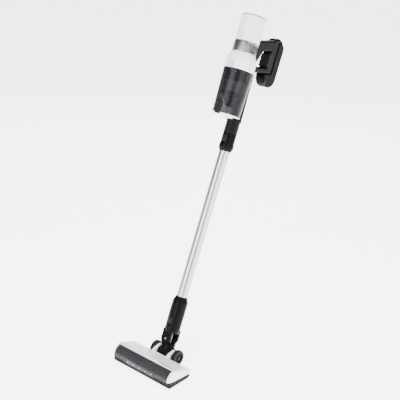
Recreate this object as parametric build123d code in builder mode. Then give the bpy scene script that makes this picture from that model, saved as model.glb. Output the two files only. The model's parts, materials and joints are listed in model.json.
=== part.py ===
"""Cordless stick vacuum: handheld motor unit, wand, jointed neck and powered floor head.

Millimetres. +Z is up, -Y is the front, +X runs along the floor head, and the floor is z = 0.
The stick leans back over the head. Its own two directions are used for everything above the
head: w points to the back of the stick, and s points up along it, both from the steering pivot.
"""
import os
from math import cos, pi, radians, sin, sqrt, tan

from build123d import *

os.makedirs("parts", exist_ok=True)

# ---- Driving dimensions ----------------------------------------------------------------------
# The stick
STICK_LEAN = 23.0          # degrees back from upright at rest
WAND_RADIUS = 17.25
WAND_WALL = 1.5
WAND_LOW = 84.0            # lower end of the tube, hidden in its socket
WAND_LENGTH = 602.0
WAND_HIGH = WAND_LOW + WAND_LENGTH

# The sockets for the wand
SOCKET_GRIP = 67.0         # length of wand inside the upper socket
SOCKET_LOW = WAND_HIGH - SOCKET_GRIP
SOCKET_HIGH = WAND_HIGH + 36.0
SOCKET_RADIUS = WAND_RADIUS + 4.75
SOCKET_OFFSET = 1.0        # the socket's centre, behind the wand's
FOOT_GRIP = 55.0           # length of wand inside the lower socket
FOOT_HIGH = WAND_LOW + FOOT_GRIP
FOOT_RADIUS = WAND_RADIUS + 7.55
FOOT_LOW = 22.0

# The handheld unit, stacked along the body's own axis in front of the wand
BIN_HEIGHT = 139.0
BIN_HIGH_RADIUS = 47.5
BIN_DRAFT = 3.5            # how much narrower the bin is at its foot
BIN_WALL = 2.0
BIN_LOW = SOCKET_HIGH + 4.0
BIN_HIGH = BIN_LOW + BIN_HEIGHT
BIN_LOW_RADIUS = BIN_HIGH_RADIUS - BIN_DRAFT
BODY_SETFORWARD = BIN_HIGH_RADIUS + 0.5
SHOULDER_HIGH = BIN_HIGH + 55.0
RING_HIGH = SHOULDER_HIGH + 35.0
RING_RADIUS = 38.2
HOUSING_HIGH = RING_HIGH + 79.0
HOUSING_LOW_RADIUS = 37.6
HOUSING_HIGH_RADIUS = 39.3
HOUSING_WALL = 2.4

# The handle loop behind the body
LOOP_CENTRE = 100.0
LOOP_RADIUS = 33.0
LOOP_LOW = BIN_HIGH + 24.0
LOOP_LENGTH = 94.0
LOOP_HIGH = LOOP_LOW + LOOP_LENGTH
HANDLE_HALF = 16.0
BATTERY_HALF = 17.4
BATTERY_SPLIT = 101.0
BATTERY_TOP = LOOP_HIGH + 20.0
ARM_SLOPE = 0.325          # rise of the upper arm per millimetre towards the back
ARM_TOP = LOOP_HIGH - 4.7
ARM_BOTTOM = ARM_TOP - 34.7
BAR_SLOPE = 0.22
BAR_TOP = LOOP_LOW + 7.4
BAR_BOTTOM = BAR_TOP - 19.2
SPINE_HALF = WAND_RADIUS + 0.75

# The neck between stick and head
NECK_RADIUS = 22.5
NECK_OFFSET = 3.0          # the neck's centre, behind the steering pivot
DISC_RADIUS = 17.7
HOSE_RADIUS = 8.2

# The floor head
HEAD_WIDTH = 240.0
HEAD_BACK = 49.0
HOOD_Y = -19.0             # centre of the round front hood over the brush
HOOD_Z = 22.0
HOOD_RADIUS = 30.5
HOOD_WALL = 2.2
DECK_FALL = 21.5           # degrees
SOLE_Z = 1.7
PARTING_FRONT = 20.0
PARTING_BACK = 14.0
CAP_WIDTH = 7.5
BRUSH_Y = -20.0
BRUSH_Z = 23.4
BRUSH_CORE_RADIUS = 15.0
BRUSH_TIP_RADIUS = 21.8
BRUSH_HALF = HEAD_WIDTH / 2 - 17.0
AXLE_Y = HEAD_BACK + 23.0
WHEEL_RADIUS = 25.0
WHEEL_WIDTH = 15.0
WHEEL_X = 45.0
AXLE_RADIUS = 4.0
ROLLER_X = HEAD_WIDTH / 2 - 28.0
ROLLER_Y = -41.0
ROLLER_RADIUS = 5.2
AXLE_Z = WHEEL_RADIUS
PIVOT_Y = AXLE_Y + 12.0    # steering pivot, above and behind the wheel axle
PIVOT_Z = AXLE_Z + 46.0

# Clearances
RUNNING = 0.05             # radial, between a shaft and its bore
SLIDING = 0.08             # radial, between the wand and its sockets
GAP = 0.4                  # between faces of different moving bodies
SEAM = 0.2                 # between pieces that are screwed together

# ---- Directions and working planes -----------------------------------------------------------
RISE = Vector(0, sin(radians(STICK_LEAN)), cos(radians(STICK_LEAN)))
BACKWARD = Vector(0, cos(radians(STICK_LEAN)), -sin(radians(STICK_LEAN)))
PIVOT = Vector(0, PIVOT_Y, PIVOT_Z)


def spot(x, w, s):
    """The point x across, w towards the back and s up the stick."""
    return PIVOT + Vector(x, 0, 0) + BACKWARD * w + RISE * s


side = Plane(origin=PIVOT, x_dir=BACKWARD, z_dir=(1, 0, 0))      # local x is w, local y is s
stick = Plane(origin=PIVOT, x_dir=(1, 0, 0), z_dir=RISE)         # local y is w
body = Plane(origin=spot(0, -BODY_SETFORWARD, 0), x_dir=(1, 0, 0), z_dir=RISE)
facing = Plane(origin=PIVOT, x_dir=(1, 0, 0), z_dir=-BACKWARD)   # looks forward, local y is s
section = Plane.YZ                                               # cuts the floor head


def turned(outline, centre=0.0, mode=Mode.ADD):
    """Turn a closed outline of (radius, height) points about a line up the stick."""
    with BuildSketch(side) as profile:
        Polygon(*[(centre + r, s) for r, s in outline], align=None)
    revolve(profile.sketch, axis=Axis(spot(0, centre, 0), RISE), mode=mode)


def side_slab(outline, half_width, mode=Mode.ADD):
    """A plate of the given (w, s) outline, centred across the stick."""
    with BuildSketch(side) as profile:
        Polygon(*outline, align=None)
    extrude(profile.sketch, amount=half_width, both=True, mode=mode)


def turned_across(outline, y, z, mode=Mode.ADD):
    """Turn a closed outline of (x, radius) points about a line along the floor head."""
    with BuildSketch(Plane(origin=(0, y, z), x_dir=(1, 0, 0), z_dir=(0, -1, 0))) as profile:
        Polygon(*outline, align=None)
    revolve(profile.sketch, axis=Axis((0, y, z), (1, 0, 0)), mode=mode)


def save(part, name):
    """Label a finished piece and write its file."""
    part.label = name
    export_step(part, f"parts/{name}.step")


# ---- Handheld unit: shells ---------------------------------------------------------------------
B = -BODY_SETFORWARD

with BuildPart() as motor_housing:
    turned(
        [
            (HOUSING_LOW_RADIUS, RING_HIGH + SEAM),
            (HOUSING_HIGH_RADIUS, HOUSING_HIGH),
            (HOUSING_HIGH_RADIUS - HOUSING_WALL, HOUSING_HIGH),
            (HOUSING_LOW_RADIUS - HOUSING_WALL, RING_HIGH + SEAM),
        ],
        B,
    )
save(motor_housing.part, "motor_housing")

RIM_HEIGHT = 3.0
RIM_WIDTH = 3.6
with BuildPart() as top_rim:
    turned(
        [
            (HOUSING_HIGH_RADIUS, HOUSING_HIGH),
            (HOUSING_HIGH_RADIUS, HOUSING_HIGH + RIM_HEIGHT - 0.8),
            (HOUSING_HIGH_RADIUS - 0.8, HOUSING_HIGH + RIM_HEIGHT),
            (HOUSING_HIGH_RADIUS - RIM_WIDTH, HOUSING_HIGH + RIM_HEIGHT),
            (HOUSING_HIGH_RADIUS - RIM_WIDTH, HOUSING_HIGH),
        ],
        B,
    )
save(top_rim.part, "top_rim")

CAP_RADIUS = HOUSING_HIGH_RADIUS - RIM_WIDTH - SEAM
CAP_TOP = HOUSING_HIGH + 1.8
DISPLAY_RADIUS = 13.0
with BuildPart() as top_cap:
    turned(
        [
            (0, HOUSING_HIGH - 3.0),
            (CAP_RADIUS, HOUSING_HIGH - 3.0),
            (CAP_RADIUS, CAP_TOP - 0.8),
            (CAP_RADIUS - 0.8, CAP_TOP),
            (DISPLAY_RADIUS + SEAM, CAP_TOP - 0.6),
            (DISPLAY_RADIUS + SEAM, CAP_TOP - 2.0),
            (0, CAP_TOP - 2.0),
        ],
        B,
    )
save(top_cap.part, "top_cap")

with BuildPart() as display_lens:
    turned(
        [
            (0, CAP_TOP - 2.0),
            (DISPLAY_RADIUS, CAP_TOP - 2.0),
            (DISPLAY_RADIUS, CAP_TOP - 0.6),
            (DISPLAY_RADIUS - 1.0, CAP_TOP),
            (0, CAP_TOP + 0.2),
        ],
        B,
    )
save(display_lens.part, "display_lens")

# The exhaust ring has leaning slots on both flanks, tilted more towards the back
RING_WALL = 2.6
SLOT_PITCH = 7.0
SLOT_FIRST = 52.0
SLOT_COUNT = 14
SLOT_LENGTH = 23.0
SLOT_WIDTH = 2.4
with BuildPart() as exhaust_ring:
    turned(
        [
            (RING_RADIUS + 0.9, SHOULDER_HIGH + SEAM),
            (RING_RADIUS + 0.9, SHOULDER_HIGH + 3.2),
            (RING_RADIUS, SHOULDER_HIGH + 4.4),
            (RING_RADIUS, RING_HIGH - 0.8),
            (RING_RADIUS - 0.8, RING_HIGH),
            (RING_RADIUS - RING_WALL, RING_HIGH),
            (RING_RADIUS - RING_WALL, SHOULDER_HIGH + SEAM),
        ],
        B,
    )
    for flank in (1, -1):
        for number in range(SLOT_COUNT):
            turn = radians(SLOT_FIRST + SLOT_PITCH * number)
            outward = Vector(1, 0, 0) * (flank * sin(turn)) - BACKWARD * cos(turn)
            middle = spot(0, B, (SHOULDER_HIGH + RING_HIGH) / 2 + 1.5) + outward * RING_RADIUS
            wall = Plane(origin=middle, x_dir=RISE, z_dir=outward)
            tilt = flank * (12 + 2.6 * number)
            with BuildSketch(wall.offset(4)):
                SlotOverall(SLOT_LENGTH, SLOT_WIDTH, rotation=tilt)
            extrude(amount=-(4 + RING_WALL + 2), mode=Mode.SUBTRACT)
save(exhaust_ring.part, "exhaust_ring")

# The white shoulder swells from the ring out to the bin, with an arched button in its front
SHOULDER_RADIUS = BIN_HIGH_RADIUS + 0.1
SHOULDER_WALL = 2.5
SHOULDER_BEND = BIN_HIGH + 23.0
SHOULDER_REACH = SHOULDER_RADIUS - RING_RADIUS + 0.4
BUTTON_HALF = 9.0
BUTTON_LOW = BIN_HIGH + 2.4
BUTTON_ARCH = BUTTON_LOW + 6.0


def shoulder_drop(s):
    """How far the shoulder has swept inwards at a height up the stick."""
    climb = SHOULDER_HIGH - SHOULDER_BEND
    sweep = (SHOULDER_REACH**2 + climb**2) / (2 * SHOULDER_REACH)
    return sweep - sqrt(sweep**2 - max(0, s - SHOULDER_BEND) ** 2)


def shoulder_outline(inset):
    """The shoulder's side view: straight above the bin, then a round sweep to the ring."""
    outer = B + SHOULDER_RADIUS - inset
    halfway = (SHOULDER_BEND + SHOULDER_HIGH) / 2
    Polyline((outer, BIN_HIGH + GAP), (outer, SHOULDER_BEND))
    ThreePointArc((outer, SHOULDER_BEND), (outer - shoulder_drop(halfway), halfway),
                  (outer - SHOULDER_REACH, SHOULDER_HIGH))
    Polyline(
        (outer - SHOULDER_REACH, SHOULDER_HIGH), (B, SHOULDER_HIGH), (B, BIN_HIGH + GAP),
        (outer, BIN_HIGH + GAP),
    )


def button_shape(grow):
    """An arch standing on its flat side."""
    with Locations((0, BUTTON_ARCH)):
        Circle(BUTTON_HALF + grow)
    with Locations((0, (BUTTON_LOW + BUTTON_ARCH) / 2)):
        Rectangle(2 * (BUTTON_HALF + grow), BUTTON_ARCH - BUTTON_LOW + 2 * grow)


with BuildPart() as shoulder_cover:
    with BuildSketch(side):
        with BuildLine():
            shoulder_outline(0)
        make_face()
    revolve(axis=Axis(spot(0, B, 0), RISE))
    with BuildSketch(side):
        with BuildLine():
            shoulder_outline(SHOULDER_WALL)
        make_face()
    revolve(axis=Axis(spot(0, B, 0), RISE), mode=Mode.SUBTRACT)
    with BuildSketch(facing.offset(BODY_SETFORWARD + 20)):
        button_shape(GAP)
    extrude(amount=40, mode=Mode.SUBTRACT)
save(shoulder_cover.part, "shoulder_cover")

with BuildPart() as bin_release:
    with BuildSketch(facing.offset(BODY_SETFORWARD + 40)):
        button_shape(0)
    extrude(amount=20)
    turned([(0, BIN_HIGH), (SHOULDER_RADIUS + 1.2, BIN_HIGH), (SHOULDER_RADIUS + 1.2, SHOULDER_HIGH),
            (0, SHOULDER_HIGH)], B, mode=Mode.INTERSECT)
save(bin_release.part, "bin_release")

# ---- Handheld unit: works ----------------------------------------------------------------------
MOTOR_RADIUS = 29.0
MOTOR_WALL = 2.0
MOTOR_LOW = SHOULDER_HIGH + 4.0
MOTOR_HIGH = MOTOR_LOW + 74.0
SHAFT_RADIUS = 3.0
CORE_LOW = MOTOR_LOW + 26.0
CORE_HIGH = CORE_LOW + 40.0
with BuildPart() as motor_case:
    turned(
        [
            (9, MOTOR_LOW),
            (MOTOR_RADIUS, MOTOR_LOW),
            (MOTOR_RADIUS, MOTOR_HIGH),
            (MOTOR_RADIUS - MOTOR_WALL, MOTOR_HIGH),
            (MOTOR_RADIUS - MOTOR_WALL, MOTOR_LOW + MOTOR_WALL),
            (9, MOTOR_LOW + MOTOR_WALL),
        ],
        B,
    )
save(motor_case.part, "motor_case")

with BuildPart() as motor_core:
    turned(
        [
            (SHAFT_RADIUS + RUNNING, CORE_LOW),
            (MOTOR_RADIUS - MOTOR_WALL, CORE_LOW),
            (MOTOR_RADIUS - MOTOR_WALL, CORE_HIGH),
            (SHAFT_RADIUS + RUNNING, CORE_HIGH),
        ],
        B,
    )
    with BuildSketch(body.offset(CORE_LOW - 1)):
        with PolarLocations(21, 12):
            Circle(3.2)
    extrude(amount=CORE_HIGH - CORE_LOW + 2, mode=Mode.SUBTRACT)
save(motor_core.part, "motor_core")

BLADE_COUNT = 9
with BuildPart() as impeller:
    turned(
        [
            (0, MOTOR_LOW + 5), (6, MOTOR_LOW + 5), (10, MOTOR_LOW + 14), (24, MOTOR_LOW + 18),
            (24, MOTOR_LOW + 20), (SHAFT_RADIUS, MOTOR_LOW + 20), (SHAFT_RADIUS, CORE_HIGH - 4),
            (0, CORE_HIGH - 4),
        ],
        B,
    )
    with BuildSketch(body.offset(MOTOR_LOW + 8)):
        with PolarLocations(14.0, BLADE_COUNT, start_angle=12):
            Rectangle(18, 1.2, rotation=28)
    extrude(amount=11)
save(impeller.part, "impeller")

FILTER_PLEATS = 40
FILTER_INNER = MOTOR_RADIUS + 0.6
FILTER_OUTER = HOUSING_LOW_RADIUS - HOUSING_WALL - 0.6
with BuildPart() as hepa_filter:
    with BuildSketch(body.offset(RING_HIGH + 5)):
        with BuildLine():
            Polyline(
                [
                    (
                        (FILTER_OUTER if step % 2 else FILTER_OUTER - 2.6) * cos(pi * step / FILTER_PLEATS),
                        (FILTER_OUTER if step % 2 else FILTER_OUTER - 2.6) * sin(pi * step / FILTER_PLEATS),
                    )
                    for step in range(2 * FILTER_PLEATS)
                ],
                close=True,
            )
        make_face()
        Circle(FILTER_INNER, mode=Mode.SUBTRACT)
    extrude(amount=36)
save(hepa_filter.part, "hepa_filter")

with BuildPart() as pre_filter:
    turned([(6, SHOULDER_HIGH - 16), (33, SHOULDER_HIGH - 16), (33, SHOULDER_HIGH - 2),
            (6, SHOULDER_HIGH - 2)], B)
save(pre_filter.part, "pre_filter")

BOARD_LOW = MOTOR_HIGH + 10.0
with BuildPart() as control_board:
    with BuildSketch(body.offset(BOARD_LOW)):
        Circle(31)
    extrude(amount=1.6)
    with BuildSketch(body.offset(BOARD_LOW + 1.6)):
        with GridLocations(16, 14, 3, 2):
            Rectangle(8, 6)
    extrude(amount=2.2)
    with BuildSketch(body.offset(BOARD_LOW + 1.6)):
        with Locations((-18, -18), (18, -18)):
            Circle(4)
    extrude(amount=11)
save(control_board.part, "control_board")

# ---- Duct, wand socket and its button -----------------------------------------------------------
BODY_ENVELOPE = [
    (0, BIN_LOW - 8), (BIN_HIGH_RADIUS + 1.0, BIN_LOW - 8), (BIN_HIGH_RADIUS + 1.0, BIN_HIGH + 1),
    (SHOULDER_RADIUS + SEAM, BIN_HIGH + 1), (SHOULDER_RADIUS + SEAM, SHOULDER_BEND),
    *[
        (SHOULDER_RADIUS + 2 * SEAM - shoulder_drop(SHOULDER_BEND + rise), SHOULDER_BEND + rise)
        for rise in (4, 8, 12, 16, 20, 24)
    ],
    (RING_RADIUS + 1.1, SHOULDER_HIGH), (RING_RADIUS + 1.1, SHOULDER_HIGH + 5),
    (RING_RADIUS + SEAM, SHOULDER_HIGH + 5),
    (HOUSING_HIGH_RADIUS + SEAM, HOUSING_HIGH), (HOUSING_HIGH_RADIUS + SEAM, HOUSING_HIGH + 30),
    (0, HOUSING_HIGH + 30),
]
SPINE_HIGH = BIN_HIGH + 15.0
with BuildPart() as duct_spine:
    side_slab(
        [(-16, SOCKET_HIGH), (-16, SPINE_HIGH), (SPINE_HALF - 1, SPINE_HIGH),
         (SOCKET_RADIUS + 1, SOCKET_HIGH + 20), (SOCKET_RADIUS + 1, SOCKET_HIGH)],
        SPINE_HALF,
    )
    rear_edges = duct_spine.edges().filter_by(
        lambda e: abs(abs(e.center().X) - SPINE_HALF) < 0.1 and (e.center() - PIVOT).dot(BACKWARD) > 5
        and abs(e.tangent_at(0.5).dot(RISE)) > 0.9)
    fillet(rear_edges, 10)
    turned(BODY_ENVELOPE, B, mode=Mode.SUBTRACT)
    side_slab(
        [(3.5, SOCKET_HIGH - 1), (3.5, SPINE_HIGH - 6), (SPINE_HALF - 4.5, SPINE_HIGH - 6),
         (SOCKET_RADIUS - 3, SOCKET_HIGH - 1)],
        SPINE_HALF - 6.5,
        mode=Mode.SUBTRACT,
    )
save(duct_spine.part, "duct_spine")

BORE = WAND_RADIUS + SLIDING
DUCT_RADIUS = WAND_RADIUS - WAND_WALL
WAND_BUTTON_LOW = SOCKET_LOW + 29.0
WAND_BUTTON_HIGH = WAND_BUTTON_LOW + 21.0
SOCKET_SEAM = SOCKET_LOW + 55.0
BUTTON_TRAVEL = 1.2


def pill(root, depth, low, high, width, grow, mode=Mode.ADD):
    """A rounded block on the front of the stick."""
    with BuildSketch(facing.offset(root)) as shape:
        with Locations((0, (low + high) / 2)):
            RectangleRounded(width + 2 * grow, high - low + 2 * grow, 3 + grow)
    extrude(shape.sketch, amount=depth, mode=mode)


def front_button(low, high, width, skin, root):
    """A press button whose face stands just proud of a round skin on the stick's front."""
    with BuildPart() as button:
        pill(root, skin - root + 8, low, high, width, 0)
        turned([(0, low - 5), (skin + 0.9, low - 5), (skin + 0.9, high + 5), (0, high + 5)],
               0, mode=Mode.INTERSECT)
    return button.part


with BuildPart() as wand_socket:
    turned(
        [
            (0, SOCKET_LOW), (SOCKET_RADIUS - 2.6, SOCKET_LOW), (SOCKET_RADIUS + 1.6, SOCKET_LOW + 11),
            (SOCKET_RADIUS + 1.6, SOCKET_LOW + 17), (SOCKET_RADIUS, SOCKET_LOW + 25),
            (SOCKET_RADIUS, SOCKET_HIGH - 9), (SOCKET_RADIUS + 2.4, SOCKET_HIGH - 4),
            (SOCKET_RADIUS + 2.4, SOCKET_HIGH), (0, SOCKET_HIGH),
        ],
        SOCKET_OFFSET,
    )
    with BuildSketch(stick.offset(SOCKET_LOW - 1)):
        Circle(BORE)
    extrude(amount=WAND_HIGH + 1 - SOCKET_LOW + 1, mode=Mode.SUBTRACT)
    with BuildSketch(stick.offset(WAND_HIGH)):
        Circle(DUCT_RADIUS)
    extrude(amount=SOCKET_HIGH - WAND_HIGH + 1, mode=Mode.SUBTRACT)
    pill(BORE + 1.2, 12, WAND_BUTTON_LOW, WAND_BUTTON_HIGH, 15, GAP, Mode.SUBTRACT)
    turned([(SOCKET_RADIUS - 0.5, SOCKET_SEAM), (SOCKET_RADIUS + 1, SOCKET_SEAM),
            (SOCKET_RADIUS + 1, SOCKET_SEAM + 0.9), (SOCKET_RADIUS - 0.5, SOCKET_SEAM + 0.9)],
           SOCKET_OFFSET, mode=Mode.SUBTRACT)
save(wand_socket.part, "wand_socket")

wand_release = front_button(
    WAND_BUTTON_LOW, WAND_BUTTON_HIGH, 15, SOCKET_RADIUS - SOCKET_OFFSET, BORE + 1.3 + BUTTON_TRAVEL)
save(wand_release, "wand_release")

# ---- Handle loop --------------------------------------------------------------------------------


def arm_line(base, slope, w):
    """Height of a sloping edge of the handle at a distance w behind the wand."""
    return base + slope * w


def loop_outline(mode=Mode.ADD, shrink=0.0):
    """The tall oval that the grip and the battery share."""
    with Locations((LOOP_CENTRE, (LOOP_LOW + LOOP_HIGH) / 2)):
        SlotCenterToCenter(LOOP_HIGH - LOOP_LOW, 2 * (LOOP_RADIUS - shrink), rotation=90, mode=mode)


def battery_region(grow, mode):
    """The part of the oval that belongs to the battery: its back, and its foot below the bar."""
    split = BATTERY_SPLIT - grow
    far = LOOP_CENTRE + LOOP_RADIUS + 10
    near = LOOP_CENTRE - LOOP_RADIUS - 10
    under = BAR_BOTTOM + grow
    Polygon(
        (split, BATTERY_TOP + grow), (far, BATTERY_TOP + grow),
        (far, LOOP_LOW - LOOP_RADIUS - 10), (near, LOOP_LOW - LOOP_RADIUS - 10),
        (near, arm_line(under, BAR_SLOPE, near)), (split, arm_line(under, BAR_SLOPE, split)),
        align=None, mode=mode,
    )


ARM_PLANE = Plane(
    origin=spot(0, 70, arm_line(ARM_TOP, ARM_SLOPE, 70)),
    x_dir=(1, 0, 0),
    z_dir=RISE - BACKWARD * ARM_SLOPE,
)
THUMB_BUTTONS = {"power_button": (-9.0, 13.0), "mode_button": (8.0, 9.0)}
THUMB_DEPTH = 5.0
THUMB_WIDTH = 14.0
GUSSET = [
    (-16, SPINE_HIGH + SEAM), (11, SPINE_HIGH + SEAM), (11, LOOP_LOW + 23), (19, LOOP_LOW + 41),
    (24, LOOP_LOW + 55), (34, LOOP_LOW + 69), (-16, LOOP_LOW + 69),
]


def thumb_button_shape(place, length, grow):
    """A rounded pad on top of the upper arm."""
    with Locations((0, -place)):
        RectangleRounded(THUMB_WIDTH + 2 * grow, length + 2 * grow, 3 + grow)


def thumb_pockets():
    """Cut the pockets that the two thumb buttons sink into."""
    for place, length in THUMB_BUTTONS.values():
        with BuildSketch(ARM_PLANE.offset(-THUMB_DEPTH - BUTTON_TRAVEL)) as pocket:
            thumb_button_shape(place, length, GAP)
        extrude(pocket.sketch, amount=THUMB_DEPTH + 12, mode=Mode.SUBTRACT)


SCREW_SPOTS = [
    (15, LOOP_HIGH - 21), (78, LOOP_HIGH - 5), (92, LOOP_LOW + 43), (50, LOOP_LOW + 8),
]
SCREW_RADIUS = 1.5
SCREW_HEAD = 3.0
SCREW_END = 11.0
TERMINAL_X = 8.0
TERMINAL_W = 114.0


def rod_across(w, s, radius, start, end, mode=Mode.ADD):
    """A round rod or hole across the handle, from one x to another."""
    with BuildSketch(side.offset(start)) as disc:
        with Locations((w, s)):
            Circle(radius)
    extrude(disc.sketch, amount=end - start, mode=mode)


def terminals(grow, mode=Mode.ADD):
    """Two contact blocks above the battery."""
    with BuildSketch(stick.offset(BATTERY_TOP)) as blocks:
        with Locations((-TERMINAL_X, TERMINAL_W), (TERMINAL_X, TERMINAL_W)):
            Rectangle(2 + 2 * grow, 9 + 2 * grow)
    extrude(blocks.sketch, amount=4 + grow, mode=mode)


with BuildPart() as handle_blank:
    with BuildSketch(side):
        loop_outline()
        battery_region(0, Mode.SUBTRACT)
        for base, slope, end in ((ARM_TOP, ARM_SLOPE, LOOP_CENTRE), (BAR_TOP, BAR_SLOPE, 80.0)):
            under = ARM_BOTTOM if base == ARM_TOP else BAR_BOTTOM
            Polygon((-16, arm_line(base, slope, -16)), (end, arm_line(base, slope, end)),
                    (end, arm_line(under, slope, end)), (-16, arm_line(under, slope, -16)), align=None)
        Polygon(*GUSSET, align=None)
        Polygon((-20, SPINE_HIGH - 20), (SPINE_HALF - 1, SPINE_HIGH - 20),
                (SPINE_HALF - 1, SPINE_HIGH + SEAM), (-20, SPINE_HIGH + SEAM),
                align=None, mode=Mode.SUBTRACT)
    extrude(amount=HANDLE_HALF)
    fillet(handle_blank.faces().sort_by(Axis.X)[-1].edges(), 6)
    turned(BODY_ENVELOPE, B, mode=Mode.SUBTRACT)

with BuildPart() as handle_right:
    add(handle_blank.part)
    thumb_pockets()
    for w, s in SCREW_SPOTS:
        rod_across(w, s, SCREW_RADIUS + RUNNING, 0, SCREW_END + 1, Mode.SUBTRACT)
    terminals(RUNNING, Mode.SUBTRACT)
save(handle_right.part, "handle_right")

with BuildPart() as handle_left:
    add(handle_blank.part.mirror(Plane.YZ))
    thumb_pockets()
    for w, s in SCREW_SPOTS:
        rod_across(w, s, SCREW_RADIUS + RUNNING, -HANDLE_HALF, 0, Mode.SUBTRACT)
        rod_across(w, s, SCREW_HEAD + SEAM, -HANDLE_HALF - 2, -HANDLE_HALF + 3, Mode.SUBTRACT)
    terminals(RUNNING, Mode.SUBTRACT)
save(handle_left.part, "handle_left")

with BuildPart() as handle_screws:
    for w, s in SCREW_SPOTS:
        rod_across(w, s, SCREW_RADIUS, -HANDLE_HALF + 3, SCREW_END)
        rod_across(w, s, SCREW_HEAD, -HANDLE_HALF + 0.6, -HANDLE_HALF + 3)
        rod_across(w, s, 1.2, -HANDLE_HALF + 0.5, -HANDLE_HALF + 1.8, Mode.SUBTRACT)
save(handle_screws.part, "handle_screws")

with BuildPart() as battery_terminals:
    terminals(0)
save(battery_terminals.part, "battery_terminals")

for name, (place, length) in THUMB_BUTTONS.items():
    with BuildPart() as thumb_button:
        with BuildSketch(ARM_PLANE.offset(-THUMB_DEPTH)):
            thumb_button_shape(place, length, 0)
        extrude(amount=THUMB_DEPTH + 1.0)
        fillet(thumb_button.faces().sort_by(Axis(spot(0, 0, 0), RISE))[-1].edges(), 0.7)
    save(thumb_button.part, name)

PAD_DEPTH = 1.2
PAD_BACK = LOOP_CENTRE - 15.0
with BuildPart() as grip_pad:
    with BuildSketch(side):
        Polygon(*[
            (LOOP_CENTRE - LOOP_RADIUS - PAD_DEPTH, LOOP_LOW + 26), (PAD_BACK, LOOP_LOW + 30),
            (PAD_BACK, LOOP_LOW + 73), (LOOP_CENTRE - LOOP_RADIUS - PAD_DEPTH, LOOP_LOW + 67),
        ], align=None)
    extrude(amount=HANDLE_HALF + PAD_DEPTH, both=True)
    add(handle_blank.part, mode=Mode.SUBTRACT)
    add(handle_blank.part.mirror(Plane.YZ), mode=Mode.SUBTRACT)
save(grip_pad.part, "grip_pad")

# ---- Battery ------------------------------------------------------------------------------------
CELL_RADIUS = 6.8
CELL_LENGTH = 44.0
CELL_LOW = LOOP_LOW - 3.0
CELL_CENTRE = 116.75
CELL_SPACING = 2 * CELL_RADIUS + 0.1
LATCH_W = 80.0
LATCH_S = LOOP_LOW - 22.0
LATCH_TRAVEL = 2.0


def latch_block(root, depth, grow, mode=Mode.ADD):
    """The rounded block of the battery's side latch."""
    with BuildSketch(side.offset(root)) as shape:
        with Locations((LATCH_W, LATCH_S)):
            RectangleRounded(11 + 2 * grow, 13 + 2 * grow, 2.5)
    extrude(shape.sketch, amount=depth, mode=mode)


with BuildPart() as battery_case:
    with BuildSketch(side):
        loop_outline()
        battery_region(-GAP, Mode.INTERSECT)
    extrude(amount=BATTERY_HALF, both=True)
    for flank in (-1, 0):
        fillet(battery_case.faces().filter_by(Axis.X).sort_by(Axis.X)[flank].edges(), 3)
    side_slab(
        [
            (CELL_CENTRE - 2 * CELL_RADIUS - 0.3, CELL_LOW - 1),
            (CELL_CENTRE + 2 * CELL_RADIUS + 0.3, CELL_LOW - 1),
            (CELL_CENTRE + 2 * CELL_RADIUS + 0.3, CELL_LOW + 2 * CELL_LENGTH + 3),
            (CELL_CENTRE - 2 * CELL_RADIUS - 0.3, CELL_LOW + 2 * CELL_LENGTH + 3),
        ],
        2 * CELL_RADIUS + 0.4,
        mode=Mode.SUBTRACT,
    )
    latch_block(BATTERY_HALF - 4 - LATCH_TRAVEL, 12, GAP, Mode.SUBTRACT)
save(battery_case.part, "battery_case")

with BuildPart() as battery_cells:
    for layer in range(2):
        with BuildSketch(stick.offset(CELL_LOW + layer * (CELL_LENGTH + 1))):
            with Locations((0, CELL_CENTRE)):
                with GridLocations(CELL_SPACING, CELL_SPACING, 2, 2):
                    Circle(CELL_RADIUS)
        extrude(amount=CELL_LENGTH)
save(battery_cells.part, "battery_cells")

with BuildPart() as battery_latch:
    latch_block(BATTERY_HALF - 4, 4.7, 0)
    fillet(battery_latch.faces().sort_by(Axis.X)[-1].edges(), 0.6)
save(battery_latch.part, "battery_latch")

# ---- Dust bin ------------------------------------------------------------------------------------
LID_THICKNESS = 3.4
LID_HINGE = BODY_SETFORWARD - 28.0     # the lid's hinge line, behind the bin's axis
LEDGE_START = LID_HINGE + 2.6          # the fixed floor ledge behind the lid
HINGE_RADIUS = 2.4
HINGE_PIN = 1.2
HINGE_HALF = 14.0
HINGE_DROP = 1.0
LID_REBATE = 0.9             # cut off the lid's back corner, which rises as it swings
LID_LOW = BIN_LOW - LID_THICKNESS
TAPER = (BIN_HIGH_RADIUS - BIN_LOW_RADIUS) / (BIN_HIGH - BIN_LOW)
LATCH_LOW = BIN_LOW + 4.0
LATCH_HIGH = LATCH_LOW + 37.0
LATCH_HALF = 9.0


def bin_radius(s):
    """Outside radius of the tapered bin at a height up the stick."""
    return BIN_LOW_RADIUS + TAPER * (s - BIN_LOW)


def hinge_rod(radius, start, end, mode=Mode.ADD):
    """A rod along the lid's hinge line."""
    with BuildSketch(side.offset(start)) as disc:
        with Locations((B + LID_HINGE, LID_LOW - HINGE_DROP)):
            Circle(radius)
    extrude(disc.sketch, amount=end - start, mode=mode)


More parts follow.
